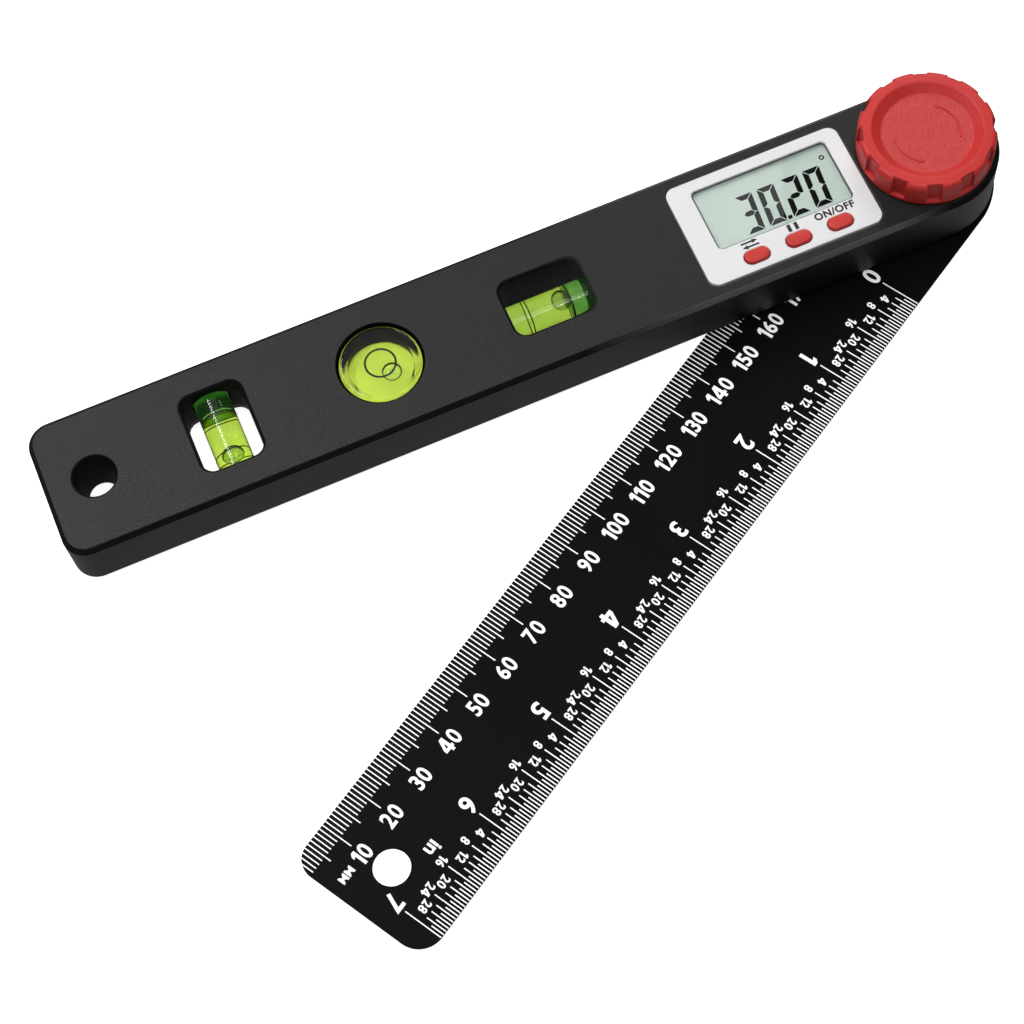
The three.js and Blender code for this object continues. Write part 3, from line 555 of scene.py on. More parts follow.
def makeStudio():
    half = studio["floorSize"] / 2
    z = -studio["floorDrop"]
    corners = [(-half, -half, z), (half, -half, z), (half, half, z), (-half, half, z)]
    floor = newObject("floor", corners, [[0, 1, 2, 3]])
    floor.data.materials.append(surface("pale floor", floorLook))
    floor.visible_diffuse = False  # the light comes from above only
    floor.visible_glossy = False
    for name, box in softboxes.items():
        light = bpy.data.lights.new(name, "AREA")
        light.shape = "RECTANGLE"
        light.size, light.size_y = [side * unit for side in box["size"]]
        light.energy = box["power"]
        lamp = linked(name, light)
        lamp.location = Vector(box["place"]) * unit
        if "roll" in box:
            lamp.rotation_euler = (0, 0, math.radians(box["roll"]))
        else:
            aim = Vector(box["aim"]) - Vector(box["place"])
            lamp.rotation_euler = aim.to_track_quat("-Z", "Y").to_euler()
    world = bpy.data.worlds.new("studio")
    bpy.context.scene.world = world
    world.use_nodes = True
    tree = world.node_tree
    back = tree.nodes["Background"]
    setInputs(back, {"Color": (1, 1, 1, 1)})
    parts = tree.nodes.new("ShaderNodeSeparateXYZ")
    place = tree.nodes.new("ShaderNodeTexCoord").outputs["Generated"]
    tree.links.new(place, parts.inputs["Vector"])
    levels = (studio["lightBelow"], studio["lightAbove"])
    level = rangeNode(tree, parts.outputs["Z"], *studio["horizon"], *levels)
    tree.links.new(level, back.inputs["Strength"])
    bpy.context.scene.view_settings.view_transform = "Standard"


makeStudio()
print("camera and studio made")


# Beam: the moulded shell with its windows, wells and recesses

shell = dict(
    corner=5.5, chamfer=1.0, softEdge=0.22, coverLip=1.2, coverThickness=2.0, wall=2.4,
    faceWall=2.0, bayCorner=3.0,
    boardGap=1.2,  # from the board's end to the bay's
    hangHoleRadius=4.7, hangHoleFoot=3.05, hangHoleInset=11.4, windowLength=19.6, windowWidth=14.6,
    windowCorner=3.0, windowInset=0.3, windowEdge=0.55, holeEdge=0.4, socketRadius=4.4,
    socketLength=21.6, roundWellRadius=9.8, bezelGap=0.25, bezelCorner=2.7, bezelDepth=1.2,
    mouthLedge=0.6, mouthCorner=1.2, washerGap=0.2, boreRadius=5.3, boreDepth=4.0,
    sideTilt=0.3,  # a side's normal rises less than this
    faceTilt=0.93,  # and the face's more than this
)
crossVial = middleOf("cross_vial_tube")
longVial = middleOf("long_vial_tube")
roundVial = middleOf("round_vial_lens")
bezelLow, bezelHigh = boxOf("display_bezel")
bezelMiddle = (bezelLow + bezelHigh) / 2


def beamPoints(inset):
    corner = shell["corner"] - inset
    return barPoints(beamReach - inset, beamHalf - inset, corner, corner)


def windowTool(vial, across):
    length, width = shell["windowLength"], shell["windowWidth"]
    if across:
        length, width = width, length
    foot, edge = shell["windowInset"], shell["windowEdge"]
    rings = []
    for inset, height in (
        (foot, shellLow.z - overrun),
        (foot, faceHeight - edge),
        (foot - edge - overrun, faceHeight + overrun),
    ):
        corner = shell["windowCorner"] - inset
        points = roundedPoints(length - 2 * inset, width - 2 * inset, corner, x=vial.x, y=vial.y)
        rings.append((points, height))
    return stacked("tool", rings)


def socketTool(vial, direction):
    half = shell["socketLength"] / 2
    return laid(disc("tool", shell["socketRadius"], -half, half, steps=64), vial, direction)


# The hanging hole narrows towards its foot and has a chamfered mouth
def hangHoleTool():
    bottom, top = shellLow.z - overrun, faceHeight + overrun
    radius, edge = shell["hangHoleRadius"], shell["holeEdge"]
    profile = [(0, bottom), (shell["hangHoleFoot"], bottom), (radius, faceHeight - edge)]
    profile += [(radius + edge + overrun, top), (0, top)]
    return turned("tool", profile, x=shell["hangHoleInset"] - beamReach)


# A recess in the face as large as the bezel and a margin
def bezelTool(margin, corner, bottom, top, steps=8):
    size = bezelHigh - bezelLow
    points = roundedPoints(size.x + 2 * margin, size.y + 2 * margin, corner, steps, bezelMiddle.x)
    return plate("tool", points, bottom, top)


def makeShell():
    body = stacked("beamShell", [
        (beamPoints(0), shellLow.z),
        (beamPoints(0), faceHeight - shell["chamfer"]),
        (beamPoints(shell["chamfer"]), faceHeight),
    ])
    top = faceHeight + overrun
    bayTop = faceHeight - shell["faceWall"]
    bayReach = shell["boardGap"] - boxOf("circuit_board")[0].x
    corner = shell["bayCorner"]
    bay = barPoints(bayReach, beamHalf - shell["wall"], corner, corner, steps=6)
    mouthTop = faceHeight - overrun / 2
    coverTop = coverBottom + shell["coverThickness"]
    washerLow, washerHigh = boxOf("friction_washer")
    carve(body, [
        windowTool(crossVial, True),
        windowTool(longVial, False),
        socketTool(crossVial, (0, 1, 0)),
        socketTool(longVial, (1, 0, 0)),
        hangHoleTool(),
        disc("tool", shell["roundWellRadius"], shellLow.z - overrun, top, roundVial.x),
        bezelTool(shell["bezelGap"], shell["bezelCorner"], faceHeight - shell["bezelDepth"], top),
        bezelTool(-shell["mouthLedge"], shell["mouthCorner"], bayTop - overrun, mouthTop, steps=4),
        plate("tool", beamPoints(shell["coverLip"]), coverBottom - overrun, coverTop),
        plate("tool", bay, coverTop - overrun / 2, bayTop),
        disc("tool", washerHigh.x + shell["washerGap"], washerLow.z, top),
        disc("tool", shell["boreRadius"], faceHeight - shell["boreDepth"], top),
    ])
    softEdges(body, shell["softEdge"])
    # Edges and inner walls are more matt than the face, the sides smoother; edges and inner walls also take a
    # darker copy of the shell as painted shade, with a band of painted highlight near the knob
    dress(body, "shell shellEdge shellSide", stands=["front_shell"])
    for face in body.data.polygons:
        x, y, z = face.center / unit
        side = abs(face.normal.z) < shell["sideTilt"] and outlineGap(x, y) < shell["softEdge"]
        face.material_index = 2 if side else 0 if face.normal.z > shell["faceTilt"] else 1


# How far a place lies inside the beam's outline
def outlineGap(x, y):
    if x > 0:
        return beamHalf - math.hypot(x, y)
    corner = shell["corner"]
    along = -x - beamReach + corner
    across = abs(y) - beamHalf + corner
    if along > 0 and across > 0:
        return corner - math.hypot(along, across)
    return corner - max(along, across)


makeShell()
print("beam shell made")


# Display: bezel, window, panel and its figures

bezel = dict(
    corner=2.5, softEdge=0.3, viewMargin=4.6, viewShift=0.8, viewY=2.55, viewWidth=16.1,
    viewCorner=1.2, lensGap=0.1, slotGap=0.15, printRise=0.02, lineWidth=0.28,
)
figures = dict(
    height=9.9, width=4.15, thick=1.28, gap=0.13, slant=0.1, baseline=-3.95,
    places=(-43.1, -37.7, -31.9, -26.5), dotPlace=(-34.8, -3.55), dotSize=0.95,
    degreePlace=(-21.9, 7.5), degreeRadius=0.3, degreeLine=0.34, rise=0.015,
)
litSegments = {"3": "abgcd", "0": "abcdef", "2": "abged"}
buttonNodes = ["mode_button", "hold_button", "power_button"]


# The seven bars of a figure: mitred at the outer corners, pointed at mid height
def figureStrips(digit):
    w = figures["width"] / 2
    h = figures["height"]
    t = figures["thick"]
    g = figures["gap"]
    mid = h / 2
    low = mid + g / 2
    side = [(w, h - g), (w, low), (w - t / 2, low), (w - t, mid + t / 2 + g / 2), (w - t, h - t - g)]
    bars = {
        "a": [(-w + g, h), (-w + t + g, h - t), (w - t - g, h - t), (w - g, h)],
        "b": side,
        "c": [(x, h - y) for x, y in side],
        "d": [(-w + g, 0), (-w + t + g, t), (w - t - g, t), (w - g, 0)],
        "e": [(-x, h - y) for x, y in side],
        "f": [(-x, y) for x, y in side],
        "g": [(-w + t / 2 + g, mid), (-w + t + g, mid + t / 2), (w - t - g, mid + t / 2),
              (w - t / 2 - g, mid), (w - t - g, mid - t / 2), (-w + t + g, mid - t / 2)],
    }
    return [bars[key] for key in litSegments[digit]]


def flatShape(outlines, height):
    verts = []
    faces = []
    for outline in outlines:
        faces.append(list(range(len(verts), len(verts) + len(outline))))
        verts += [(x, y, height) for x, y in outline]
    return verts, faces


# Four-sided outlines that fill the strip between two outlines with as many points
def stripBetween(outer, inner):
    pairs = list(zip(outer, inner))
    return [[a, b, d, c] for (a, c), (b, d) in zip(pairs, pairs[1:] + pairs[:1])]


def makeFigures(height):
    slant = figures["slant"]
    outlines = []
    for digit, place in zip("3020", figures["places"]):
        for strip in figureStrips(digit):
            outlines.append([(place + x + slant * y, figures["baseline"] + y) for x, y in strip])
    x, y = figures["dotPlace"]
    half = figures["dotSize"] / 2
    square = [(-half, -half), (half, -half), (half, half), (-half, half)]
    outlines.append([(x + sx + slant * sy, y + sy) for sx, sy in square])
    radii = (figures["degreeRadius"] + figures["degreeLine"], figures["degreeRadius"])
    rims = [arcPoints(*figures["degreePlace"], radius, 0, 4 * quarter, steps=32)[:-1] for radius in radii]
    outlines += stripBetween(*rims)
    verts, faces = flatShape(outlines, height + figures["rise"])
    dress(newObject("displayFigures", verts, faces), "segment")


def textShape(words, height, bold=0.0, spacing=1.0):
    data = bpy.data.curves.new("words", "FONT")
    data.body = words
    data.offset = bold
    data.space_character = spacing
    data.align_x = data.align_y = "CENTER"
    data.resolution_u = 5
    thing = linked("words", data)
    graph = bpy.context.evaluated_depsgraph_get()
    mesh = bpy.data.meshes.new_from_object(thing.evaluated_get(graph))
    xs = [v.co.x for v in mesh.vertices]
    ys = [v.co.y for v in mesh.vertices]
    scale = height / (max(ys) - min(ys))
    middle = Vector(((max(xs) + min(xs)) / 2, (max(ys) + min(ys)) / 2, 0))
    verts = [(v.co - middle) * scale for v in mesh.vertices]
    faces = [list(face.vertices) for face in mesh.polygons]
    bpy.data.objects.remove(thing)
    bpy.data.curves.remove(data)
    bpy.data.meshes.remove(mesh)
    return verts, faces


# A sheet of print: flat shapes gathered one by one, then made as one piece
class Print:
    def __init__(self, height):
        self.height = height
        self.verts = []
        self.faces = []

    # Way is the pair of directions that a shape's right and its up take on the sheet
    def add(self, points, faces, place, way, squeeze=1.0):
        right, up = way
        start = len(self.verts)
        for p in points:
            x = place[0] + p[0] * right[0] * squeeze + p[1] * up[0]
            y = place[1] + p[0] * right[1] * squeeze + p[1] * up[1]
            self.verts.append((x, y, self.height))
        self.faces += [[start + i for i in face] for face in faces]

    def addOutline(self, outline, place, way):
        self.add(outline, [list(range(len(outline)))], place, way)

    # A tick's turn down over the blade's edge
    def overEdge(self, along, across, width):
        start = len(self.verts)
        low = blade["softEdge"]
        for side, z in ((-1, self.height), (1, self.height), (1, low), (-1, low)):
            self.verts.append((*bladePlace(along + side * width / 2, across), z))
        self.faces.append([start, start + 1, start + 2, start + 3])

    def make(self, name):
        return newObject(name, self.verts, self.faces)


viewX = bezelMiddle.x + bezel["viewShift"]
viewLength = bezelHigh.x - bezelLow.x - 2 * bezel["viewMargin"]


# The display's window, drawn in by an inset
def viewPoints(inset, corner):
    length, width = viewLength - 2 * inset, bezel["viewWidth"] - 2 * inset
    return roundedPoints(length, width, corner, steps=6, x=viewX, y=bezel["viewY"])


# An oval as large as a button and a margin
def buttonPoints(middle, margin):
    radius = button["width"] / 2 + margin
    reach = button["length"] / 2 + margin - radius
    right = arcPoints(middle.x + reach, middle.y, radius, -quarter, quarter, steps=20)
    return right + arcPoints(middle.x - reach, middle.y, radius, quarter, 3 * quarter, steps=20)


def makeBezel():
    low, high = bezelLow, bezelHigh
    length, width = high.x - low.x, high.y - low.y
    outline = roundedPoints(length, width, bezel["corner"], steps=10, x=bezelMiddle.x)
    body = plate("displayBezel", outline, low.z, high.z)
    bottom, top = low.z - overrun, high.z + overrun
    lensLow, lensHigh = boxOf("display_lens")
    seatLength = lensHigh.x - lensLow.x + 2 * bezel["lensGap"]
    seatWidth = lensHigh.y - lensLow.y + 2 * bezel["lensGap"]
    corner = bezel["viewCorner"]
    seat = roundedPoints(seatLength, seatWidth, corner, steps=4, x=viewX, y=bezel["viewY"])
    carve(body, [
        plate("tool", viewPoints(0, corner), bottom, top),
        plate("tool", seat, bottom, lensHigh.z),
        *[plate("tool", buttonPoints(middleOf(node), bezel["slotGap"]), bottom, top) for node in buttonNodes],
    ])
    softEdges(body, bezel["softEdge"])
    dress(body, "bezel", stands=["display_bezel"])
    line = bezel["lineWidth"]
    strip = stripBetween(viewPoints(hair, corner), viewPoints(line, corner - line))
    verts, faces = flatShape(strip, lensHigh.z + bezel["printRise"])
    dress(newObject("windowLine", verts, faces), "bezelPrint")


button = dict(
    length=5.9, width=3.3, crown=0.5, crownSteps=6, flangeMargin=0.7, flangeThickness=0.6,
    flangeDrop=0.3,  # below the bezel
)


def makeButtons():
    crown = button["crown"]
    flangeTop = bezelLow.z - button["flangeDrop"]
    for node in buttonNodes:
        top = boxOf(node)[1].z
        middle = middleOf(node)
        flange = buttonPoints(middle, button["flangeMargin"])
        rings = [(flange, flangeTop - button["flangeThickness"]), (flange, flangeTop)]
        rings.append((buttonPoints(middle, 0), flangeTop))
        for i in range(button["crownSteps"] + 1):
            lean = quarter * i / button["crownSteps"]
            points = buttonPoints(middle, -crown * (1 - math.cos(lean)))
            rings.append((points, top - crown + crown * math.sin(lean)))
        body = smooth(stacked(node.replace("_button", "Button"), rings))
        dress(body, "button", node.replace("_button", "_key"), [node])


signs = dict(
    rise=3.2,  # from a button's middle to its sign's
    height=1.9, bold=0.04, spacing=1.12,
    bar=[(-0.42, -0.95), (0.42, -0.95), (0.42, 0.95), (-0.42, 0.95)],
    barShift=0.85,  # of each bar to its side
    arrow=[(-2.0, -0.22), (0.7, -0.22), (0.7, -0.55), (2.0, 0.0), (0.7, 0.55), (0.7, 0.22), (-2.0, 0.22)],
    arrowShift=(-0.3, 0.56),  # of both to the left, and of each up or down
)


# Marks over the buttons: ON/OFF, two bars for hold and a pair of arrows for the mode
def makeBezelPrint():
    sheet = Print(bezelHigh.z + bezel["printRise"])
    mode, hold, power = [middleOf(node) + Vector((0, signs["rise"], 0)) for node in buttonNodes]
    words = textShape("ON/OFF", signs["height"], signs["bold"], signs["spacing"])
    upright = ((1, 0), (0, 1))
    sheet.add(*words, power, upright)
    left, apart = signs["arrowShift"]
    for side in (-1, 1):
        sheet.addOutline(signs["bar"], (hold.x + side * signs["barShift"], hold.y), upright)
    for side in (1, -1):
        sheet.addOutline(signs["arrow"], (mode.x + left, mode.y + side * apart), ((side, 0), (0, side)))
    dress(sheet.make("bezelPrint"), "bezelPrint")


makeBezel()
makeButtons()
makeBezelPrint()
makeFigures(boxOf("lcd_panel")[1].z)
print("display made")


# Ruler blade with its printed scales

blade = dict(
    angle=30.8, reach=210.6, width=34.6, mmCorner=4.6, inchCorner=6.0, holeInset=11.4,
    holeRadius=4.05, printRoom=0.02, softEdge=0.15, tangRadius=4.8,
    tangFlat=3.9,  # the shaft's flats keep it from turning in the blade
)
scales = dict(
    rise=0.012, tickWidth=0.26, mmTicks=180, mmLengths={10: 7.8, 5: 6.3, 1: 4.8}, mmNumbered=10,
    mmNumberMiddle=10.7, mmNumberHeight=3.85, mmSqueeze=0.84,
    mmWord=("MM", 1.9, (4.6, 10.8)),  # its height and its place on the blade
    inches=7, inch=25.4, inchParts=32,
    inchSeven=5.65,  # from the free end
    inchLengths={32: 9.3, 16: 7.8, 8: 6.5, 2: 4.9, 1: 3.1},
    inchNumberMiddle=12.3,  # from the inch edge
    inchNumberHeight=4.4, inchSqueeze=0.92, inchWord=("in", 3.0, (19.5, 21.8)), partNumbered=4,
    partNumberHeight=2.1,
    partNumberGap=1.75,  # from a tick's end to the middle of its number
    partSqueeze=0.9, bold=0.026,
    digitGap=0.12,  # share of a number's height
)
# The one, with its flag, and the open four, in shares of their height
drawnDigits = {
    "1": [
        [(0.2, 0), (0.42, 0), (0.42, 1), (0.2, 1)],
        [(0, 0.64), (0.2, 0.72), (0.2, 1), (0.17, 1), (0, 0.82)],
    ],
    "4": [
        [(0.42, 0), (0.65, 0), (0.65, 1), (0.42, 1)],
        [(0, 0.17), (0.42, 0.17), (0.42, 0.37), (0, 0.37)],
        [(0.65, 0.17), (0.78, 0.17), (0.78, 0.37), (0.65, 0.37)],
        [(0, 0.37), (0.22, 0.37), (0.42, 0.67), (0.42, 1), (0.36, 1)],
    ],
}
turn = math.radians(blade["angle"])
alongBlade = (math.cos(turn), math.sin(turn))  # from the free end to the pivot
acrossBlade = (math.sin(turn), -math.cos(turn))  # from the millimetre edge to the inch edge
mmWay = (alongBlade, (-acrossBlade[0], -acrossBlade[1]))
inchWay = ((-alongBlade[0], -alongBlade[1]), acrossBlade)


# Place on the blade, from the free end and from the millimetre edge
def bladePlace(along, across):
    back = along - blade["reach"]
    side = across - blade["width"] / 2
    return (back * alongBlade[0] + side * acrossBlade[0], back * alongBlade[1] + side * acrossBlade[1])


# The hole for the shaft's end is round with two flats
def tangPoints():
    radius = blade["tangRadius"]
    bend = math.asin(blade["tangFlat"] / radius)
    points = arcPoints(0, 0, radius, -bend, bend, steps=24)
    return points + arcPoints(0, 0, radius, 2 * quarter - bend, 2 * quarter + bend, steps=24)


def makeBlade():
    half = blade["width"] / 2 - blade["printRoom"]
    points = barPoints(blade["reach"], half, blade["inchCorner"], blade["mmCorner"])
    body = plate("rulerBlade", points, 0, bladeTop)
    top = bladeTop + overrun
    carve(body, [
        disc("tool", blade["holeRadius"], -overrun, top, blade["holeInset"] - blade["reach"]),
        plate("tool", tangPoints(), -overrun, top),
    ])
    softEdges(body, blade["softEdge"])
    body.data.transform(Matrix.Rotation(turn, 4, "Z"))
    dress(body, "blade", "blade", ["ruler_blade"])


def tickInto(sheet, along, start, end):
    half = scales["tickWidth"] / 2
    outline = [(-half, -end), (half, -end), (half, -start), (-half, -start)]
    sheet.addOutline(outline, bladePlace(along, 0), mmWay)


# A number set digit by digit
def numberShape(number, height):
    verts, faces, x = [], [], 0.0
    for digit in str(number):
        if digit in drawnDigits:
            points, shapes = flatShape(drawnDigits[digit], 0)
            points = [(px * height, (py - 0.5) * height) for px, py, _ in points]
        else:
            points, shapes = textShape(digit, height, scales["bold"])
        low = min(p[0] for p in points)
        start = len(verts)
        verts += [(x + p[0] - low, p[1]) for p in points]
        faces += [[start + i for i in shape] for shape in shapes]
        x = max(v[0] for v in verts) + scales["digitGap"] * height
    middle = (x - scales["digitGap"] * height) / 2
    return [(v[0] - middle, v[1]) for v in verts], faces


def addNumber(sheet, number, scale, along, across, way):
    shape = numberShape(number, scales[scale + "NumberHeight"])
    sheet.add(*shape, bladePlace(along, across), way, scales[scale + "Squeeze"])


# The length of the tick with the given number, longest where most divides it
def tickLength(lengths, number):
    return next(length for step, length in lengths.items() if number % step == 0)


def makeScales():
    sheet = Print(bladeTop + scales["rise"])
    for i in range(1, scales["mmTicks"] + 1):
        near = edgeInset(i, blade["mmCorner"]) + blade["softEdge"] / 2
        tickInto(sheet, i, near, tickLength(scales["mmLengths"], i))
        if i % scales["mmNumbered"] == 0:
            addNumber(sheet, i, "mm", i, scales["mmNumberMiddle"], mmWay)
    width = blade["width"]
    parts = scales["inchParts"]
    for i in range(parts * scales["inches"] + 1):
        along = scales["inchSeven"] + scales["inch"] * (scales["inches"] - i / parts)
        length = tickLength(scales["inchLengths"], i)
        near = edgeInset(along, blade["inchCorner"])
        if near == 0:
            sheet.overEdge(along, width, scales["tickWidth"])
        tickInto(sheet, along, width - length, width - near)
        if i % parts == 0:
            addNumber(sheet, i // parts, "inch", along, width - scales["inchNumberMiddle"], inchWay)
        elif i % scales["partNumbered"] == 0:
            across = width - length - scales["partNumberGap"]
            addNumber(sheet, i % parts, "part", along, across, inchWay)
    for key, way in (("mmWord", mmWay), ("inchWord", inchWay)):
        words, height, place = scales[key]
        sheet.add(*textShape(words, height, scales["bold"]), bladePlace(*place), way)
    dress(sheet.make("bladePrint"), "print", "blade")


# How far the blade's edge falls back where its corner is round
def edgeInset(along, corner):
    if along >= corner:
        return 0.0
    return corner - math.sqrt(max(0.0, corner**2 - (corner - along) ** 2))


makeBlade()
makeScales()
print("blade made")


# Lock knob

knob = dict(
    radius=15.5, rimRadius=14.3, shoulder=1.5, shoulderSteps=8, bevelRoom=0.06, dishRim=12.45,
    dishFloor=10.25, dishDepth=1.8, flange=1.1, notches=12, notchWidth=3.1, notchDepth=0.9,
    phase=10.0, bossRadius=6.8, skirtWall=2.4, web=1.6, boreRadius=5.15,
    boreRise=0.9,  # of the bore's end over the skirt's hollow
    softEdge=0.28, arcRadius=7.46, arcWidth=0.34, arcRise=0.22, arcSink=0.05,
    arcs=((327.0, 403.0), (164.0, 230.0)),
    arrowReach=0.16,  # past the arc's end, in radians
    arrowWidth=3,  # in widths of the arc
)


def polar(radius, angle):
    return radius * math.cos(angle), radius * math.sin(angle)


def makeKnob():
    low, high = boxOf("lock_knob")
    radius, bore, boss = knob["radius"], knob["boreRadius"], knob["bossRadius"]
    skirt = radius - knob["skirtWall"]
    top = high.z - knob["bevelRoom"]
    floor = high.z - knob["dishDepth"]
    under = floor - knob["web"]
    boreTop = under + knob["boreRise"]
    profile = [(0, boreTop), (bore, boreTop), (bore, low.z), (boss, low.z), (boss, under)]
    profile += [(skirt, under), (skirt, low.z), (radius, low.z)]
    shoulder = top - knob["shoulder"]
    for i in range(knob["shoulderSteps"] + 1):
        t = quarter * i / knob["shoulderSteps"]
        out = knob["rimRadius"] + (radius - knob["rimRadius"]) * math.cos(t)
        profile.append((out, shoulder + knob["shoulder"] * math.sin(t)))
    profile += [(knob["dishRim"], top), (knob["dishFloor"], floor), (0, floor)]
    body = turned("lockKnob", profile, steps=144)
    inner, outer = radius - knob["notchDepth"], radius + 2 * overrun
    half = knob["notchWidth"] / 2
    tools = []
    for i in range(knob["notches"]):
        t = math.radians(knob["phase"]) + 4 * quarter * i / knob["notches"]
        box = [(inner, -half), (outer, -half), (outer, half), (inner, half)]
        tool = plate("tool", box, low.z + knob["flange"], high.z + overrun)
        tool.data.transform(Matrix.Rotation(t, 4, "Z"))
        tools.append(tool)
    carve(body, tools)
    softEdges(body, knob["softEdge"], angle=24)
    # The dish's floor has a coarser grain
    dress(body, "red redGrain", "knob", ["lock_knob"])
    for face in body.data.polygons:
        x, y, z = face.center / unit
        if abs(z - floor) < knob["arcRise"] and math.hypot(x, y) < knob["dishFloor"]:
            face.material_index = 1
    arcs = [arcMark(math.radians(start), math.radians(end), floor) for start, end in knob["arcs"]]
    dress(smooth(merged("knobArcs", arcs)), "red", "knob")


# Raised arc with an arrow head at its end
def arcMark(start, end, floor):
    radius = knob["arcRadius"]
    half = knob["arcWidth"] / 2
    inner, outer = [arcPoints(0, 0, radius + side * half, start, end, steps=40) for side in (-1, 1)]
    tip = polar(radius, end + knob["arrowReach"])
    barb = [polar(radius + side * knob["arrowWidth"] * half, end) for side in (1, -1)]
    outline = outer + [barb[0], tip, barb[1]] + inner[::-1]
    return plate("arc", outline, floor - knob["arcSink"], floor + knob["arcRise"])


makeKnob()
print("knob made")


# Spirit vials: a clear tube with the liquid, the bubble and the plug as bodies inside it.
# Distances along a vial are from its middle, towards its plug.

vial = dict(
    radius=4.1, boreRadius=3.0, barrel=0.25, boreSteps=16, endRound=0.8, floor=1.4, plugLength=5.6,
    marks=(-4.8, 4.8), markRise=0.03, markWidth=0.28, markGap=0.002,
    linePlace=0.05,  # of the line round the plug's end
    lineGap=0.01,
    bubble=(4.4, 4.5, 2.4),  # length, width and height
    bubbleDrop=0.06,  # below the top of the bore
)
bubblePlaces = {"crossVial": -5.5, "longVial": 3.1}
liquids = {"crossVial": "crossLiquid", "longVial": "shadedLongLiquid"}


def boreRadiusAt(share):
    return vial["boreRadius"] + vial["barrel"] * math.sin(2 * quarter * share)


def roundedEnd(radius, end, edge, steps=5):
    side = 1 if end > 0 else -1
    turns = [quarter * i / steps for i in range(steps + 1)]
    return [(radius - edge * (1 - math.sin(t)), end - side * edge * (1 - math.cos(t))) for t in turns]


# An egg-shaped body about the origin
def bubbleBody(name, length, width, height):
    rows = 24
    turns = [2 * quarter * i / rows for i in range(rows + 1)]
    profile = [(round(math.sin(t), 9), -math.cos(t)) for t in turns]
    body = turned(name, profile, steps=48)
    body.data.transform(Matrix.Diagonal((width / 2, height / 2, length / 2, 1)))
    return body


# A ring of rectangular section about +Z
def band(name, inner, outer, bottom, top, x=0.0, y=0.0, steps=96):
    section = [(inner, bottom), (outer, bottom), (outer, top), (inner, top), (inner, bottom)]
    return turned(name, section, steps, x, y)


def makeVial(name, node, direction):
    low, high = boxOf(node + "_tube")
    middle = middleOf(node + "_tube")
    half = max(high.x - low.x, high.y - low.y) / 2
    radius = vial["radius"]
    boreEnd = half - vial["floor"]
    liquidEnd = half - vial["plugLength"]
    end = roundedEnd(radius, -half, vial["endRound"])
    tube = turned(name + "Tube", [(0, -half)] + end + [(radius, half), (0, half)])
    dress(smooth(laid(tube, middle, direction)), "clear", stands=[node + "_tube"])
    shares = [i / vial["boreSteps"] for i in range(vial["boreSteps"] + 1)]
    bore = [(boreRadiusAt(s), -boreEnd + (liquidEnd + boreEnd) * s) for s in shares]
    liquid = turned(name + "Liquid", [(0, -boreEnd)] + bore + [(0, liquidEnd)])
    dress(turnedIn(smooth(laid(liquid, middle, direction))), liquids[name])
    plug = disc(name + "Plug", vial["boreRadius"], liquidEnd + hair, half - hair)
    dress(smooth(laid(plug, middle, direction)), "plug", stands=[node + "_plug"])
    length, width, height = vial["bubble"]
    bubble = bubbleBody(name + "Bubble", length, width, height)
    along = bubblePlaces[name]
    share = (along + boreEnd) / (liquidEnd + boreEnd)
    rise = boreRadiusAt(share) - vial["bubbleDrop"] - height / 2
    laid(bubble, middle + Vector(direction) * along + Vector((0, 0, rise)), direction)
    dress(turnedIn(smooth(bubble, angle=180)), "bubble")
    wide = vial["markWidth"] / 2
    rings = [(along, radius + vial["markGap"]) for along in vial["marks"]]
    rings.append((liquidEnd + wide + vial["linePlace"], vial["boreRadius"] + vial["lineGap"]))
    marks = []
    for along, inner in rings:
        ring = band("mark", inner, inner + vial["markRise"], along - wide, along + wide)
        marks.append(laid(ring, middle, direction))
    dress(smooth(merged(name + "Marks", marks)), "mark")


makeVial("crossVial", "cross_vial", (0, 1, 0))
makeVial("longVial", "long_vial", (1, 0, 0))
print("vials made")


# Round bubble vial: a clear cup through the beam; its base and the lens's foot glow, painted light standing
# in for light from behind

roundLook = dict(
    radius=9.3, edge=0.9, boreRadius=7.3, topThickness=1.6, domeRise=0.5, domeSteps=12,
    markRadius=3.41, markWidth=0.46, markRise=0.02, markGap=0.004,
    bubble=(1.7, -2.2),  # from the vial's axis
    # A dark ring round the bubble's rim is painted shade
    bubbleSize=(4.2, 4.2, 1.5), bubbleDrop=0.1, bubbleRimShadeWidth=0.09,
    sideTilt=0.2,  # a side's normal rises less than this
    footTilt=0.9,  # and the foot's falls more than this
)


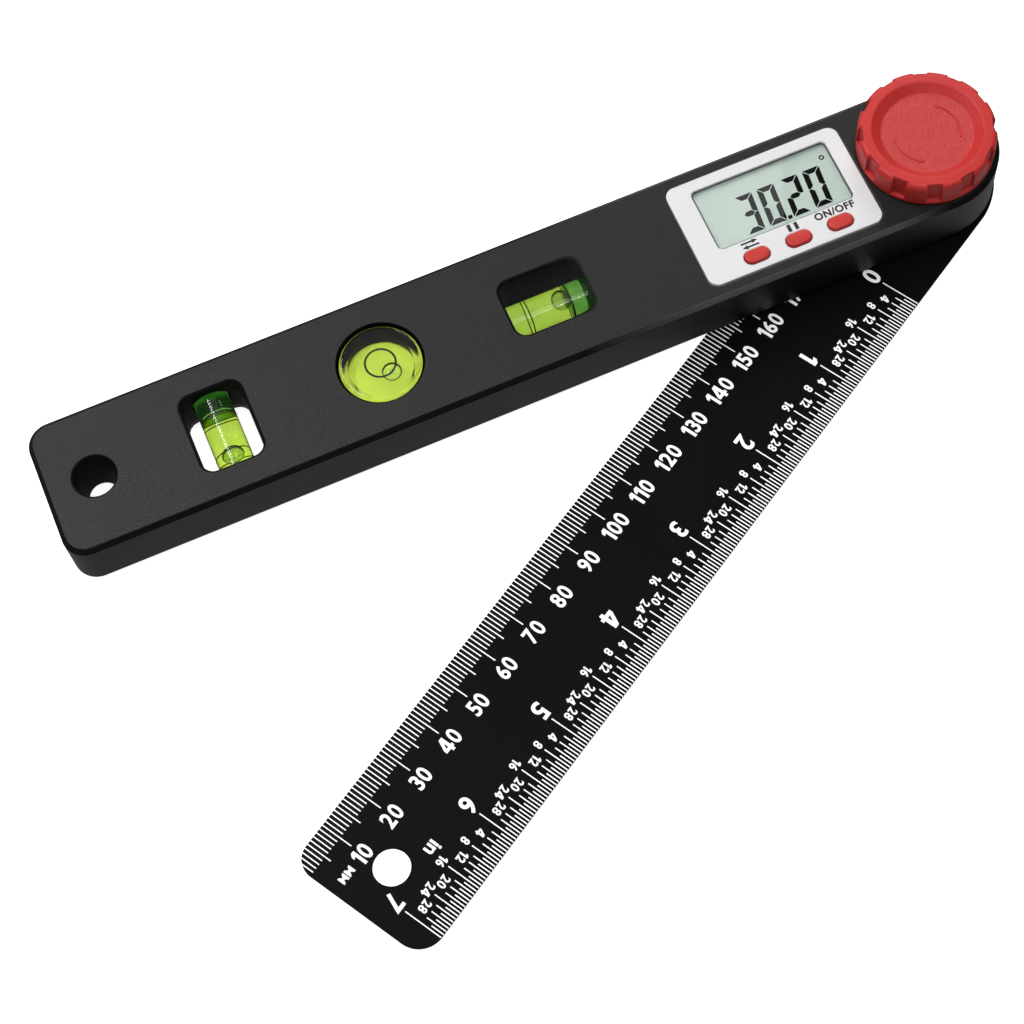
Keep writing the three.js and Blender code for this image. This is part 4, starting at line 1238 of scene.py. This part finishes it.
def makeRoundVial():
    low, high = boxOf("round_vial_lens")
    x, y = roundVial.x, roundVial.y
    look = roundLook
    end = roundedEnd(look["radius"], high.z, look["edge"])
    cup = [(0, low.z), (look["radius"], low.z)] + end[::-1] + [(0, high.z)]
    lens = turned("roundLens", cup, steps=144, x=x, y=y)
    # The lens's foot takes the glowing moulding: painted light
    dress(smooth(lens), "clear darkSide paleMould", stands=["round_vial_lens"])
    for face in lens.data.polygons:
        if abs(face.normal.z) < look["sideTilt"]:
            face.material_index = 1
        elif face.normal.z < -look["footTilt"]:
            face.material_index = 2
    baseTop = boxOf("round_vial_base")[1].z + hair
    domeLow = high.z - look["topThickness"]
    shares = [i / look["domeSteps"] for i in range(look["domeSteps"] + 1)]
    dome = [(look["boreRadius"] * (1 - s), domeLow + look["domeRise"] * (1 - (1 - s) ** 2)) for s in shares]
    inside = [(0, baseTop), (look["boreRadius"], baseTop)] + dome
    liquid = turned("roundLiquid", inside, steps=144, x=x, y=y)
    dress(turnedIn(smooth(liquid)), "roundLiquid")
    length, width, height = look["bubbleSize"]
    bubble = bubbleBody("roundBubble", height, width, length)
    bubbleX, bubbleY = look["bubble"]
    out = math.hypot(bubbleX, bubbleY) + width / 2
    top = domeLow + look["domeRise"] * (1 - (out / look["boreRadius"]) ** 2)
    place = Vector((x + bubbleX, y + bubbleY, top - look["bubbleDrop"] - height / 2))
    bubble.data.transform(Matrix.Translation(place * unit))
    dress(turnedIn(smooth(bubble, angle=180)), "roundBubble")
    radius, half = look["markRadius"], look["markWidth"] / 2
    bottom, top = high.z + look["markGap"], high.z + look["markRise"]
    ring = band("roundMark", radius - half, radius + half, bottom, top, x, y)
    # A dark ring round the bubble's rim: painted shade
    inner = width / 2 + hair
    line = look["bubbleRimShadeWidth"]
    bubbleRimShade = band("bubbleRimShade", inner, inner + line, -line / 2, line / 2, steps=64)
    bubbleRimShade.data.transform(Matrix.Translation(place * unit))
    dress(merged("roundMarkAndBubbleShade", [ring, bubbleRimShade]), "mark")


makeRoundVial()
print("round vial made")


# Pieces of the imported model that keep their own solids

kept = {
    "cover": ["rear_cover", "battery_lid"],
    "window": ["display_lens"],
    "panel": ["lcd_panel"],
    "rubber": ["lcd_connector", "keypad_mat"],
    "board": ["circuit_board", "encoder_rotor"],
    # The round vial's base glows: painted light
    "paleMould": ["round_vial_base"],
    "steel": ["coin_cell", "leaf_contact", "side_contact", "pivot_shaft", "retaining_ring"],
    "brass": ["pivot_bush", "knob_insert"],
    "nylon": ["thrust_washer", "friction_washer"],
}
kept["steel"] += [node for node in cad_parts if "screw" in node]
for look, nodes in kept.items():
    for node in nodes:
        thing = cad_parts[node]
        paint(thing, look)
        smooth(thing, angle=30)
print("kept pieces dressed")
